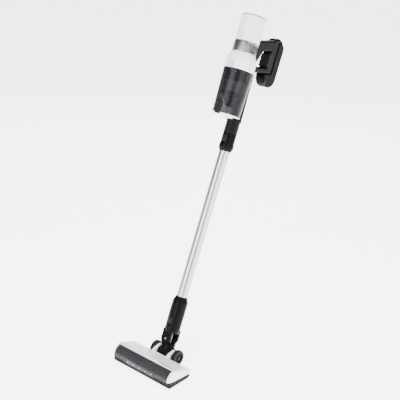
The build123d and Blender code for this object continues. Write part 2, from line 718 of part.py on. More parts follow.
with BuildPart() as bin_shell:
    turned(
        [
            (BIN_LOW_RADIUS, BIN_LOW), (BIN_HIGH_RADIUS, BIN_HIGH),
            (BIN_HIGH_RADIUS - BIN_WALL, BIN_HIGH), (BIN_LOW_RADIUS - BIN_WALL, BIN_LOW),
        ],
        B,
    )
    with BuildSketch(body.offset(LID_LOW)) as ledge:
        Circle(BIN_LOW_RADIUS)
        with Locations((0, LEDGE_START - 50)):
            Rectangle(200, 100, mode=Mode.SUBTRACT)
    extrude(ledge.sketch, amount=LID_THICKNESS + 1.6)
    for flank in (1, -1):
        inner = flank * (HINGE_HALF + 0.5)
        outer = flank * (HINGE_HALF + 4.5)
        with BuildSketch(side.offset(inner)) as ear:
            with Locations((B + LID_HINGE, LID_LOW - HINGE_DROP)):
                Circle(HINGE_RADIUS)
            with Locations((B + LID_HINGE + 2.6, LID_LOW - HINGE_DROP + 0.6)):
                Rectangle(5.2, 3.6)
        extrude(ear.sketch, amount=outer - inner)
        with BuildSketch(side.offset(inner)) as lift:
            with Locations((B + LEDGE_START + 1.5, LID_LOW)):
                Rectangle(3.0, 3.0)
        extrude(lift.sketch, amount=outer - inner)
    hinge_rod(HINGE_PIN, -HINGE_HALF - 2, HINGE_HALF + 2)
save(bin_shell.part, "bin_shell")

with BuildPart() as bin_lid:
    with BuildSketch(body.offset(LID_LOW)) as plate:
        Circle(BIN_LOW_RADIUS)
        with Locations((0, LEDGE_START - GAP + 50)):
            Rectangle(200, 100, mode=Mode.SUBTRACT)
    extrude(plate.sketch, amount=LID_THICKNESS - GAP)
    fillet(bin_lid.faces().sort_by(Axis(spot(0, 0, 0), RISE))[0].edges(), 1.2)
    with BuildSketch(body.offset(LID_LOW + LID_THICKNESS - GAP - LID_REBATE)) as rebate:
        with Locations((0, LEDGE_START - GAP - LID_REBATE + 50)):
            Rectangle(200, 100)
    extrude(rebate.sketch, amount=LID_THICKNESS, mode=Mode.SUBTRACT)
    hinge_rod(HINGE_RADIUS, -HINGE_HALF, HINGE_HALF)
    for flank in (1, -1):
        start = flank * (HINGE_HALF + 0.2)
        hinge_rod(HINGE_RADIUS + 0.6, start, start + flank * 4.8, Mode.SUBTRACT)
        with BuildSketch(side.offset(start)) as notch:
            with Locations((B + LEDGE_START - 2, LID_LOW + 1)):
                Rectangle(5.4, 6)
        extrude(notch.sketch, amount=flank * 4.8, mode=Mode.SUBTRACT)
    hinge_rod(HINGE_PIN + RUNNING, -HINGE_HALF - 6, HINGE_HALF + 6, Mode.SUBTRACT)
save(bin_lid.part, "bin_lid")

SEAL_RADIUS = BIN_LOW_RADIUS - BIN_WALL - 0.5
with BuildPart() as lid_seal:
    with BuildSketch(body.offset(BIN_LOW - GAP)) as band:
        Circle(SEAL_RADIUS)
        with Locations((0, LID_HINGE - 4 + 50)):
            Rectangle(200, 100, mode=Mode.SUBTRACT)
        Circle(SEAL_RADIUS - 2.4, mode=Mode.SUBTRACT)
    extrude(band.sketch, amount=2.4)
save(lid_seal.part, "lid_seal")

with BuildPart() as lid_latch:
    with BuildSketch(facing.offset(BODY_SETFORWARD + 30)) as tab:
        with Locations((0, LATCH_HIGH - LATCH_HALF)):
            Circle(LATCH_HALF)
        with Locations((0, (LATCH_LOW - 10 + LATCH_HIGH - LATCH_HALF) / 2)):
            Rectangle(2 * LATCH_HALF, LATCH_HIGH - LATCH_HALF - LATCH_LOW + 10)
    extrude(tab.sketch, amount=40)
    turned(
        [
            (bin_radius(LATCH_HIGH) + GAP, LATCH_HIGH), (bin_radius(LATCH_HIGH) + 2.6, LATCH_HIGH),
            (bin_radius(LATCH_LOW) + 3.2, LATCH_LOW), (bin_radius(LATCH_LOW) + 3.2, LID_LOW - 2.4),
            (BIN_LOW_RADIUS + GAP, LID_LOW - 2.4), (BIN_LOW_RADIUS + GAP, BIN_LOW),
        ],
        B,
        mode=Mode.INTERSECT,
    )
save(lid_latch.part, "lid_latch")

SHROUD_RADIUS = 33.0
SHROUD_LOW = BIN_LOW + 69.0
SHROUD_HIGH = SHROUD_LOW + 37.0
with BuildPart() as mesh_shroud:
    turned([(SHROUD_RADIUS, SHROUD_LOW), (SHROUD_RADIUS, SHROUD_HIGH), (SHROUD_RADIUS - 1.2, SHROUD_HIGH),
            (SHROUD_RADIUS - 1.2, SHROUD_LOW)], B)
    for row in range(5):
        for hole in range(18):
            turn = radians(20 * hole + 10 * (row % 2))
            outward = Vector(1, 0, 0) * sin(turn) - BACKWARD * cos(turn)
            centre = spot(0, B, SHROUD_LOW + 5.5 + 6.5 * row)
            with BuildSketch(Plane(origin=centre + outward * (SHROUD_RADIUS - 3), z_dir=outward)) as round_hole:
                Circle(2.2)
            extrude(round_hole.sketch, amount=6, mode=Mode.SUBTRACT)
save(mesh_shroud.part, "mesh_shroud")

CYCLONE_RIM = BIN_HIGH_RADIUS - BIN_WALL - 0.5
with BuildPart() as cyclone_body:
    turned(
        [
            (0, BIN_LOW + 26), (12, BIN_LOW + 26), (24, SHROUD_LOW - 11), (35.5, SHROUD_LOW - 9),
            (35.5, SHROUD_LOW), (24, SHROUD_LOW), (24, SHROUD_HIGH), (36.5, SHROUD_HIGH),
            (38, SHROUD_HIGH + 4), (38, BIN_HIGH - 8), (CYCLONE_RIM, BIN_HIGH - 5),
            (CYCLONE_RIM, BIN_HIGH - 1), (0, BIN_HIGH - 1),
        ],
        B,
    )
    with BuildSketch(body.offset(SHROUD_HIGH - 30)) as cyclones:
        with PolarLocations(19, 7):
            Circle(5.2)
    extrude(cyclones.sketch, amount=80, mode=Mode.SUBTRACT)
save(cyclone_body.part, "cyclone_body")

# ---- Wand ------------------------------------------------------------------------------------------
INSERT_LENGTH = 32.0
with BuildPart() as wand_tube:
    turned([(WAND_RADIUS, WAND_LOW), (WAND_RADIUS, WAND_HIGH), (DUCT_RADIUS, WAND_HIGH),
            (DUCT_RADIUS, WAND_LOW)])
save(wand_tube.part, "wand_tube")

with BuildPart() as wand_inserts:
    for low in (WAND_LOW, WAND_HIGH - INSERT_LENGTH):
        turned([(DUCT_RADIUS - RUNNING, low), (DUCT_RADIUS - RUNNING, low + INSERT_LENGTH),
                (DUCT_RADIUS - 1.6, low + INSERT_LENGTH), (DUCT_RADIUS - 1.6, low)])
save(wand_inserts.part, "wand_inserts")

with BuildPart() as wand_wiring:
    with BuildSketch(stick.offset(WAND_LOW + 2)):
        with Locations((0, DUCT_RADIUS - 3.6)):
            Rectangle(7, 1.6)
    extrude(amount=WAND_HIGH - WAND_LOW - 4)
save(wand_wiring.part, "wand_wiring")

# ---- Foot of the stick: connector with its fork ---------------------------------------------------
FORK_FRONT = (-21.5, -14.0)
FORK_BACK = (15.5, 24.5)
EAR_RADIUS = 14.0
EAR_FRONT = (-13.5, -7.6)
EAR_BACK = (9.2, 15.0)
PIN_RADIUS = 4.0
PIN_HEAD = 6.0
FOOT_BUTTON_LOW = FOOT_LOW + 29.0
FOOT_BUTTON_HIGH = FOOT_BUTTON_LOW + 20.0
FOOT_WALL = 5.2


def disc_along(radius, span, mode=Mode.ADD, stem=0.0):
    """A round plate about the steering axis, with an optional stem up (or down) the stick."""
    near, far = span
    with BuildSketch(facing.offset(-far)) as plate:
        Circle(radius)
        if stem:
            with Locations((0, stem / 2)):
                Rectangle(2 * radius, abs(stem))
    extrude(plate.sketch, amount=far - near, mode=mode)


with BuildPart() as foot_collar:
    turned(
        [
            (BORE, FOOT_HIGH), (WAND_RADIUS + 1.7, FOOT_HIGH), (FOOT_RADIUS - 1.3, FOOT_HIGH - 12.5),
            (FOOT_RADIUS, FOOT_HIGH - 18), (FOOT_RADIUS + 0.4, FOOT_HIGH - 40), (FOOT_RADIUS - 0.1, FOOT_LOW + 10),
            (FOOT_RADIUS - 2.4, FOOT_LOW), (FOOT_RADIUS - FOOT_WALL, FOOT_LOW),
            (FOOT_RADIUS - FOOT_WALL, FOOT_LOW + 28), (DUCT_RADIUS, FOOT_LOW + 34),
            (DUCT_RADIUS, WAND_LOW - 1), (BORE, WAND_LOW - 1),
        ],
    )
    disc_along(DISC_RADIUS, FORK_FRONT, stem=FOOT_LOW + 9)
    disc_along(DISC_RADIUS, FORK_BACK, stem=FOOT_LOW + 9)
    disc_along(PIN_RADIUS + RUNNING, (FORK_FRONT[0] - 1, FORK_BACK[1] + 1), Mode.SUBTRACT)
    disc_along(PIN_HEAD + SEAM, (FORK_FRONT[0] - 1, FORK_FRONT[0] + 3), Mode.SUBTRACT)
    disc_along(PIN_HEAD + SEAM, (FORK_BACK[1] - 3, FORK_BACK[1] + 1), Mode.SUBTRACT)
    pill(BORE + 1.2, 12, FOOT_BUTTON_LOW, FOOT_BUTTON_HIGH, 15, GAP, Mode.SUBTRACT)
save(foot_collar.part, "foot_collar")

foot_release = front_button(
    FOOT_BUTTON_LOW, FOOT_BUTTON_HIGH, 15, FOOT_RADIUS + 0.1, BORE + 1.3 + BUTTON_TRAVEL)
save(foot_release, "foot_release")

with BuildPart() as steering_pins:
    disc_along(PIN_RADIUS, (FORK_FRONT[0] + 3, EAR_FRONT[1]))
    disc_along(PIN_HEAD, (FORK_FRONT[0] + 0.8, FORK_FRONT[0] + 3))
    disc_along(PIN_RADIUS, (EAR_BACK[0], FORK_BACK[1] - 3))
    disc_along(PIN_HEAD, (FORK_BACK[1] - 3, FORK_BACK[1] - 0.8))
save(steering_pins.part, "steering_pins")

# ---- Neck ------------------------------------------------------------------------------------------
NECK_TOP = -12.0
NECK_LOW = -44.0
BARREL_RADIUS = 22.5
BARREL_HALF = 23.0
HOSE_CENTRE = (EAR_FRONT[1] + EAR_BACK[0]) / 2
HOSE_LOW = -40.0


def rod_along_head(y, z, radius, start, end, mode=Mode.ADD):
    """A round rod or hole along the floor head."""
    with BuildSketch(section.offset(start)) as disc:
        with Locations((y, z)):
            Circle(radius)
    extrude(disc.sketch, amount=end - start, mode=mode)


with BuildPart() as neck_body:
    turned([(0, NECK_LOW), (NECK_RADIUS, NECK_LOW), (NECK_RADIUS, NECK_TOP - 2),
            (NECK_RADIUS - 2, NECK_TOP), (0, NECK_TOP)], NECK_OFFSET)
    rod_along_head(AXLE_Y, AXLE_Z, BARREL_RADIUS, -BARREL_HALF, BARREL_HALF)
    disc_along(DISC_RADIUS + 0.8, (FORK_FRONT[0] - 10, FORK_FRONT[1] + GAP), Mode.SUBTRACT)
    disc_along(DISC_RADIUS + 0.8, (FORK_BACK[0] - GAP, FORK_BACK[1] + 10), Mode.SUBTRACT)
    disc_along(EAR_RADIUS, EAR_FRONT, stem=NECK_TOP - 10)
    disc_along(EAR_RADIUS, EAR_BACK, stem=NECK_TOP - 10)
    disc_along(PIN_RADIUS + RUNNING, (-30, 30), Mode.SUBTRACT)
    with BuildSketch(stick.offset(NECK_LOW - 4)) as passage:
        with Locations((0, HOSE_CENTRE)):
            Circle(HOSE_RADIUS + 0.2)
    extrude(passage.sketch, amount=60, mode=Mode.SUBTRACT)
    rod_along_head(AXLE_Y, AXLE_Z, AXLE_RADIUS + RUNNING, -40, 40, Mode.SUBTRACT)
save(neck_body.part, "neck_body")

RIB_PITCH = 4.3
RIB_COUNT = 20
with BuildPart() as flexible_hose:
    crest = [
        (HOSE_RADIUS - (0.2 if step % 2 else 1.2), HOSE_LOW + RIB_PITCH * step / 2)
        for step in range(2 * RIB_COUNT + 1)
    ]
    turned(crest + [(HOSE_RADIUS - 2.2, HOSE_LOW + RIB_PITCH * RIB_COUNT), (HOSE_RADIUS - 2.2, HOSE_LOW)],
           HOSE_CENTRE)
save(flexible_hose.part, "flexible_hose")

# ---- Floor head: hood, deck and base ----------------------------------------------------------------
FALL = radians(DECK_FALL)
WINDOW_EDGE = radians(-10.4)       # where the deck takes over from the clear window
WINDOW_GAP = 0.3
CAP_INNER = HEAD_WIDTH / 2 - CAP_WIDTH
BASE_FRONT = -46.0
EAR_INNER = BARREL_HALF + 1.0
EAR_OUTER = 35.8
EAR_DISC = 19.0
EAR_FOOT = 6.0
SADDLE_RADIUS = 27.6
WELL_RADIUS = WHEEL_RADIUS + 1.4
WELL_IN = WHEEL_X - WHEEL_WIDTH / 2 - 0.8
WELL_OUT = WHEEL_X + WHEEL_WIDTH / 2 + 1.2


def hood_point(inset, angle):
    """A point on the round hood, at an angle from upright towards the back."""
    reach = HOOD_RADIUS - inset
    return (HOOD_Y + reach * sin(angle), HOOD_Z + reach * cos(angle))


def deck_height(inset, y):
    """Height of the sloping deck at y."""
    start_y, start_z = hood_point(inset, FALL)
    return start_z - (y - start_y) * tan(FALL)


def deck_region(inset, start, floor_front, floor_back):
    """The side view under hood and deck, from a start angle on the hood to the back edge."""
    back = HEAD_BACK - inset
    corner = 4.0
    with BuildSketch(section) as region:
        with BuildLine():
            Line((HOOD_Y, floor_front), (HOOD_Y, HOOD_Z))
            Line((HOOD_Y, HOOD_Z), hood_point(inset, start))
            ThreePointArc(
                hood_point(inset, start), hood_point(inset, (start + FALL) / 2), hood_point(inset, FALL))
            Line(hood_point(inset, FALL), (back - corner, deck_height(inset, back - corner)))
            Line((back - corner, deck_height(inset, back - corner)),
                 (back, deck_height(inset, back) - corner))
            Line((back, deck_height(inset, back) - corner), (back, floor_back))
            Line((back, floor_back), (HOOD_Y, floor_front))
        make_face()
    return region.sketch


def parting(y):
    """Height of the joint between the white upper shells and the black base."""
    share = (y - BASE_FRONT) / (HEAD_BACK - BASE_FRONT)
    return PARTING_FRONT + (PARTING_BACK - PARTING_FRONT) * share


def block(x0, x1, y0, y1, z0, z1, mode=Mode.ADD):
    """A square-edged block between two corners."""
    with BuildSketch(Plane.XY.offset(z0)) as foot:
        with Locations(((x0 + x1) / 2, (y0 + y1) / 2)):
            Rectangle(x1 - x0, y1 - y0)
    extrude(foot.sketch, amount=z1 - z0, mode=mode)


def section_slab(points, start, end, mode=Mode.ADD):
    """A plate of the given (y, z) outline between two places along the head."""
    with BuildSketch(section.offset(start)) as profile:
        Polygon(*points, align=None)
    extrude(profile.sketch, amount=end - start, mode=mode)


def wheel_wells():
    """Round notches at the back for the two wheels."""
    for start, end in ((WELL_IN, WELL_OUT), (-WELL_OUT, -WELL_IN)):
        rod_along_head(AXLE_Y, AXLE_Z, WELL_RADIUS, start, end, Mode.SUBTRACT)


SLIDER_HIGH_X = CAP_INNER - 6.5
SLIDER_LOW_X = SLIDER_HIGH_X - 57.0
SLIDER_TRAVEL = 4.0
SLIDER_Y = -15.0
SLIDER_HALF = 1.9

with BuildPart() as head_cover:
    extrude(deck_region(0, WINDOW_EDGE, parting(HOOD_Y) + SEAM, PARTING_BACK + SEAM),
            amount=CAP_INNER - SEAM, both=True)
    extrude(deck_region(HOOD_WALL, WINDOW_EDGE - 0.3, -10, -10), amount=HEAD_WIDTH, both=True,
            mode=Mode.SUBTRACT)
    wheel_wells()
    for start, end in ((EAR_INNER, EAR_OUTER), (-EAR_OUTER, -EAR_INNER)):
        section_slab(
            [
                (HEAD_BACK - 0.5, EAR_FOOT), (AXLE_Y, EAR_FOOT), (AXLE_Y, AXLE_Z + EAR_DISC),
                (AXLE_Y - 14, AXLE_Z + EAR_DISC - 2.5), (HEAD_BACK - 1, AXLE_Z + EAR_DISC - 6),
                (HEAD_BACK - 12, deck_height(0, HEAD_BACK - 12) - 0.5),
                (HEAD_BACK - 12, deck_height(0, HEAD_BACK - 12) - 3), (HEAD_BACK - 0.5, 24),
            ],
            start, end,
        )
        rod_along_head(AXLE_Y, AXLE_Z, EAR_DISC, start, end)
    section_slab(
        [
            (HEAD_BACK - 1.5, 16), (HEAD_BACK + 6, 16), (HEAD_BACK + 6, 30.5), (HEAD_BACK - 2, 31.5),
            (HEAD_BACK - 12, deck_height(0, HEAD_BACK - 12) - 0.5),
            (HEAD_BACK - 12, deck_height(0, HEAD_BACK - 12) - 3), (HEAD_BACK - 1.5, 26),
        ],
        -EAR_OUTER, EAR_OUTER,
    )
    rod_along_head(AXLE_Y, AXLE_Z, SADDLE_RADIUS, -EAR_INNER, EAR_INNER, Mode.SUBTRACT)
    rod_along_head(AXLE_Y, AXLE_Z, AXLE_RADIUS + RUNNING, -60, 60, Mode.SUBTRACT)
    block(SLIDER_LOW_X - SLIDER_TRAVEL - GAP, SLIDER_HIGH_X + GAP, SLIDER_Y - SLIDER_HALF - GAP,
          SLIDER_Y + SLIDER_HALF + GAP, HOOD_Z, HOOD_Z + 60, Mode.SUBTRACT)
save(head_cover.part, "head_cover")

with BuildPart() as brush_release:
    section_slab(
        [
            (SLIDER_Y - SLIDER_HALF, HOOD_Z + HOOD_RADIUS - 2.4),
            (SLIDER_Y + SLIDER_HALF, HOOD_Z + HOOD_RADIUS - 2.4),
            (SLIDER_Y + SLIDER_HALF, HOOD_Z + HOOD_RADIUS - 1.2),
            (SLIDER_Y - SLIDER_HALF, HOOD_Z + HOOD_RADIUS - 1.0),
        ],
        SLIDER_LOW_X, SLIDER_HIGH_X,
    )
save(brush_release.part, "brush_release")

with BuildPart() as brush_window:
    with BuildSketch(section.offset(-CAP_INNER + SEAM)) as arc:
        with Locations((HOOD_Y, HOOD_Z)):
            Circle(HOOD_RADIUS)
            Circle(HOOD_RADIUS - HOOD_WALL, mode=Mode.SUBTRACT)
        edge_y, edge_z = hood_point(-30, WINDOW_EDGE - WINDOW_GAP / HOOD_RADIUS)
        Polygon((HOOD_Y, HOOD_Z), (edge_y, edge_z), (-95, edge_z), (-95, PARTING_FRONT + SEAM),
                (HOOD_Y, PARTING_FRONT + SEAM), align=None, mode=Mode.INTERSECT)
    extrude(arc.sketch, amount=2 * (CAP_INNER - SEAM))
save(brush_window.part, "brush_window")

LENS_HALF = 59.0
LENS_LOW = 18.6
LENS_HIGH = 31.0
with BuildPart() as led_lens:
    with BuildSketch(section.offset(-LENS_HALF)) as arc:
        with Locations((HOOD_Y, HOOD_Z)):
            Circle(HOOD_RADIUS + 1.6)
            Circle(HOOD_RADIUS + 0.05, mode=Mode.SUBTRACT)
        Polygon((HOOD_Y, LENS_LOW), (HOOD_Y, LENS_HIGH), (-95, LENS_HIGH), (-95, LENS_LOW), align=None,
                mode=Mode.INTERSECT)
    extrude(arc.sketch, amount=2 * LENS_HALF)
save(led_lens.part, "led_lens")


def end_cap(flank):
    """A white end wall with the head's whole side view, holding one end of the brush."""
    start = flank * CAP_INNER
    with BuildPart() as cap:
        with BuildSketch(section.offset(start)) as wall:
            with BuildLine():
                front = hood_point(0, radians(-86))
                Line(front, (HOOD_Y, parting(HOOD_Y) + SEAM))
                Line((HOOD_Y, parting(HOOD_Y) + SEAM), (HEAD_BACK, PARTING_BACK + SEAM))
                Line((HEAD_BACK, PARTING_BACK + SEAM), (HEAD_BACK, deck_height(0, HEAD_BACK) - 4))
                Line((HEAD_BACK, deck_height(0, HEAD_BACK) - 4), (HEAD_BACK - 4, deck_height(0, HEAD_BACK - 4)))
                Line((HEAD_BACK - 4, deck_height(0, HEAD_BACK - 4)), hood_point(0, FALL))
                ThreePointArc(hood_point(0, FALL), hood_point(0, radians(-35)), front)
            make_face()
        extrude(wall.sketch, amount=flank * CAP_WIDTH)
        outer = cap.faces().filter_by(Axis.X).sort_by(Axis.X)[-1 if flank > 0 else 0]
        fillet(outer.edges().filter_by(lambda e: e.center().Z > PARTING_FRONT + 3), 3)
        rod_along_head(BRUSH_Y, BRUSH_Z, AXLE_RADIUS + RUNNING, start - flank, start + flank * 2.5,
                       Mode.SUBTRACT)
    return cap.part


save(end_cap(1), "end_cap_right")
save(end_cap(-1), "end_cap_left")

CHAMBER_RADIUS = BRUSH_TIP_RADIUS + 1.2
CHAMBER_HALF = HEAD_WIDTH / 2 - 13.0
TRAY_FLOOR = 4.2
POCKET_HALF = 5.3
ROLLER_HALF = 4.6
ROLLER_STUB = 1.5
ROLLER_STUB_HALF = 7.6
BELT_X0 = 15.8 - HEAD_WIDTH / 2
BELT_X1 = BELT_X0 + 5.4

with BuildPart() as head_base:
    section_slab(
        [
            (BASE_FRONT, SOLE_Z + 1.5), (BASE_FRONT + 2.5, SOLE_Z), (HEAD_BACK - 10, SOLE_Z),
            (HEAD_BACK - 3, SOLE_Z + 3.5), (HEAD_BACK, SOLE_Z + 9), (HEAD_BACK, PARTING_BACK),
            (BASE_FRONT, PARTING_FRONT),
        ],
        -HEAD_WIDTH / 2, HEAD_WIDTH / 2,
    )
    fillet(head_base.edges().filter_by(Axis.Z).filter_by(lambda e: e.length > 3), 4)
    rod_along_head(BRUSH_Y, BRUSH_Z, CHAMBER_RADIUS, -CHAMBER_HALF, CHAMBER_HALF, Mode.SUBTRACT)
    block(-CHAMBER_HALF, CHAMBER_HALF, BRUSH_Y - 17, BRUSH_Y + 15, -1, 7, Mode.SUBTRACT)
    block(SEAM - CAP_INNER, CAP_INNER - SEAM, 9, HEAD_BACK - 4, TRAY_FLOOR, 40, Mode.SUBTRACT)
    block(-CHAMBER_HALF, BELT_X1 + 2.8, BRUSH_Y, 12, 9, 40, Mode.SUBTRACT)
    block(-12, 12, BRUSH_Y, HEAD_BACK + 5, 8, 40, Mode.SUBTRACT)
    wheel_wells()
    rod_along_head(AXLE_Y, AXLE_Z, SADDLE_RADIUS, -EAR_OUTER - 0.4, EAR_OUTER + 0.4, Mode.SUBTRACT)
    block(-EAR_OUTER - 0.4, EAR_OUTER + 0.4, HEAD_BACK - 1.2, HEAD_BACK + 5, EAR_FOOT - 1, 40, Mode.SUBTRACT)
    for x in (-ROLLER_X, ROLLER_X):
        block(x - POCKET_HALF, x + POCKET_HALF, BASE_FRONT - 2, ROLLER_Y + ROLLER_RADIUS + 0.8, -1,
              2 * ROLLER_RADIUS + 1, Mode.SUBTRACT)
        rod_along_head(ROLLER_Y, ROLLER_RADIUS, ROLLER_STUB + RUNNING, x - ROLLER_STUB_HALF - 0.4,
                       x + ROLLER_STUB_HALF + 0.4, Mode.SUBTRACT)
save(head_base.part, "head_base")

STRIP_FRONT = -2.0
STRIP_BACK = 7.0
with BuildPart() as glide_strip:
    block(20 - HEAD_WIDTH / 2, HEAD_WIDTH / 2 - 20, STRIP_FRONT, STRIP_BACK, 0, SOLE_Z)
save(glide_strip.part, "glide_strip")

MOTOR_Y = 27.0
MOTOR_Z = 19.5
BRUSH_MOTOR_RADIUS = 11.0
BRUSH_MOTOR_END = BELT_X1 + 8.8
PULLEY_RADIUS = 5.0
BRUSH_PULLEY_RADIUS = 9.0
BELT_THICKNESS = 1.2
BELT_GAP = 0.25
MOTOR_SHAFT = 2.0
with BuildPart() as brush_motor:
    turned_across(
        [
            (BRUSH_MOTOR_END + 54, 0), (BRUSH_MOTOR_END + 54, BRUSH_MOTOR_RADIUS),
            (BRUSH_MOTOR_END, BRUSH_MOTOR_RADIUS), (BRUSH_MOTOR_END, 5), (BRUSH_MOTOR_END - 3, 5),
            (BRUSH_MOTOR_END - 3, MOTOR_SHAFT), (BELT_X0 - 0.6, MOTOR_SHAFT), (BELT_X0 - 0.6, 0),
        ],
        MOTOR_Y, MOTOR_Z,
    )
save(brush_motor.part, "brush_motor")

with BuildPart() as motor_pulley:
    turned_across(
        [
            (BELT_X0, MOTOR_SHAFT + RUNNING), (BELT_X0, PULLEY_RADIUS), (BELT_X1, PULLEY_RADIUS),
            (BELT_X1, MOTOR_SHAFT + RUNNING),
        ],
        MOTOR_Y, MOTOR_Z,
    )
save(motor_pulley.part, "motor_pulley")


def belt_loop(grow):
    """The outline of a loop drawn tight round both pulleys."""
    with BuildSketch(section.offset(BELT_X0 + 0.4)) as loop:
        with Locations((MOTOR_Y, MOTOR_Z)):
            Circle(PULLEY_RADIUS + grow)
        with Locations((BRUSH_Y, BRUSH_Z)):
            Circle(BRUSH_PULLEY_RADIUS + grow)
        make_hull()
    return loop.sketch


with BuildPart() as drive_belt:
    extrude(belt_loop(BELT_GAP + BELT_THICKNESS), amount=BELT_X1 - BELT_X0 - 0.8)
    extrude(belt_loop(BELT_GAP), amount=BELT_X1 - BELT_X0 - 0.8, mode=Mode.SUBTRACT)
save(drive_belt.part, "drive_belt")

with BuildPart() as brush_core:
    turned_across(
        [
            (-CAP_INNER - 2, 0), (-CAP_INNER - 2, AXLE_RADIUS), (BELT_X0 - 1, AXLE_RADIUS),
            (BELT_X0 - 1, BRUSH_PULLEY_RADIUS), (BELT_X1 + 1, BRUSH_PULLEY_RADIUS),
            (BELT_X1 + 1, BRUSH_CORE_RADIUS), (BRUSH_HALF, BRUSH_CORE_RADIUS), (BRUSH_HALF, AXLE_RADIUS),
            (CAP_INNER + 2, AXLE_RADIUS), (CAP_INNER + 2, 0),
        ],
        BRUSH_Y, BRUSH_Z,
    )
save(brush_core.part, "brush_core")

ROWS = 4
ROW_STEPS = 9
ROW_TWIST = 22.0
ROW_HALF = 1.6
ROW_START = BELT_X1 + 4.8
with BuildPart() as brush_bristles:
    for row in range(ROWS):
        with BuildPart() as one_row:
            for step in range(ROW_STEPS):
                x = ROW_START + step * (BRUSH_HALF - 4 - ROW_START) / (ROW_STEPS - 1)
                turn = radians(360 * row / ROWS + ROW_TWIST * step)
                outward = Vector(0, cos(turn), sin(turn))
                root = Vector(x, BRUSH_Y, BRUSH_Z)
                with BuildSketch(Plane(origin=root, x_dir=outward, z_dir=(1, 0, 0))):
                    with Locations(((BRUSH_CORE_RADIUS + BRUSH_TIP_RADIUS) / 2 + 0.05, 0)):
                        Rectangle(BRUSH_TIP_RADIUS - BRUSH_CORE_RADIUS - 0.2, 2 * ROW_HALF)
            loft(ruled=True)
        rod_along_head(BRUSH_Y, BRUSH_Z, BRUSH_CORE_RADIUS + 0.02, -CAP_INNER, CAP_INNER, Mode.SUBTRACT)
save(brush_bristles.part, "brush_bristles")

# ---- Wheels, rollers and axles -----------------------------------------------------------------------
HUB_RADIUS = 16.5
PIN_START = 12.5
PIN_CAP = 6.0
with BuildPart() as axle_pins:
    for flank in (1, -1):
        turned_across(
            [
                (flank * PIN_START, 0), (flank * PIN_START, AXLE_RADIUS),
                (flank * (WHEEL_X + 5.2), AXLE_RADIUS), (flank * (WHEEL_X + 5.2), PIN_CAP),
                (flank * (WHEEL_X + 6.8), PIN_CAP - 1), (flank * (WHEEL_X + 6.8), 0),
            ],
            AXLE_Y, AXLE_Z,
        )
save(axle_pins.part, "axle_pins")

for name, flank in (("right", 1), ("left", -1)):
    inside = flank * (WHEEL_X - WHEEL_WIDTH / 2)
    outside = flank * (WHEEL_X + WHEEL_WIDTH / 2)
    with BuildPart() as wheel_hub:
        turned_across(
            [
                (inside + flank, AXLE_RADIUS + RUNNING), (inside + flank, HUB_RADIUS),
                (outside - flank * 0.8, HUB_RADIUS), (outside - flank * 0.8, HUB_RADIUS - 2.2),
                (outside - flank * 3.2, HUB_RADIUS - 3.4), (outside - flank * 2.6, AXLE_RADIUS + RUNNING),
            ],
            AXLE_Y, AXLE_Z,
        )
    save(wheel_hub.part, f"wheel_hub_{name}")
    with BuildPart() as wheel_tyre:
        turned_across(
            [
                (inside, HUB_RADIUS + 0.02), (inside, WHEEL_RADIUS - 3), (inside + flank * 0.9, WHEEL_RADIUS - 1),
                (inside + flank * 3, WHEEL_RADIUS), (outside - flank * 3, WHEEL_RADIUS),
                (outside - flank * 0.9, WHEEL_RADIUS - 1), (outside, WHEEL_RADIUS - 3),
                (outside, HUB_RADIUS + 0.02),
            ],
            AXLE_Y, AXLE_Z,
        )
    save(wheel_tyre.part, f"wheel_tyre_{name}")
    with BuildPart() as front_roller:
        x = flank * ROLLER_X
        turned_across(
            [
                (x - ROLLER_STUB_HALF, 0), (x - ROLLER_STUB_HALF, ROLLER_STUB), (x - ROLLER_HALF, ROLLER_STUB),
                (x - ROLLER_HALF, ROLLER_RADIUS - 1), (x - ROLLER_HALF + 1, ROLLER_RADIUS),
                (x + ROLLER_HALF - 1, ROLLER_RADIUS), (x + ROLLER_HALF, ROLLER_RADIUS - 1),
                (x + ROLLER_HALF, ROLLER_STUB), (x + ROLLER_STUB_HALF, ROLLER_STUB), (x + ROLLER_STUB_HALF, 0),
            ],
            ROLLER_Y, ROLLER_RADIUS,
        )
    save(front_roller.part, f"front_roller_{name}")
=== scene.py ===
# %% [markdown]
# # Finishing a cordless stick vacuum
# The working model arrives as a fixed frame: every shell, button, wheel and screw in its place.
# This lesson gives each of them the surface it has on a real cleaner, and adds what is too fine
# for the working model: treads, tufts, lamps, printed marks, painted shade in seams, gaps and slots, a
# painted edge highlight, and a ribbed hose.

# %% Load the frame
import json
import math
import random
import bpy
from mathutils import Matrix, Vector
from mathutils.bvhtree import BVHTree


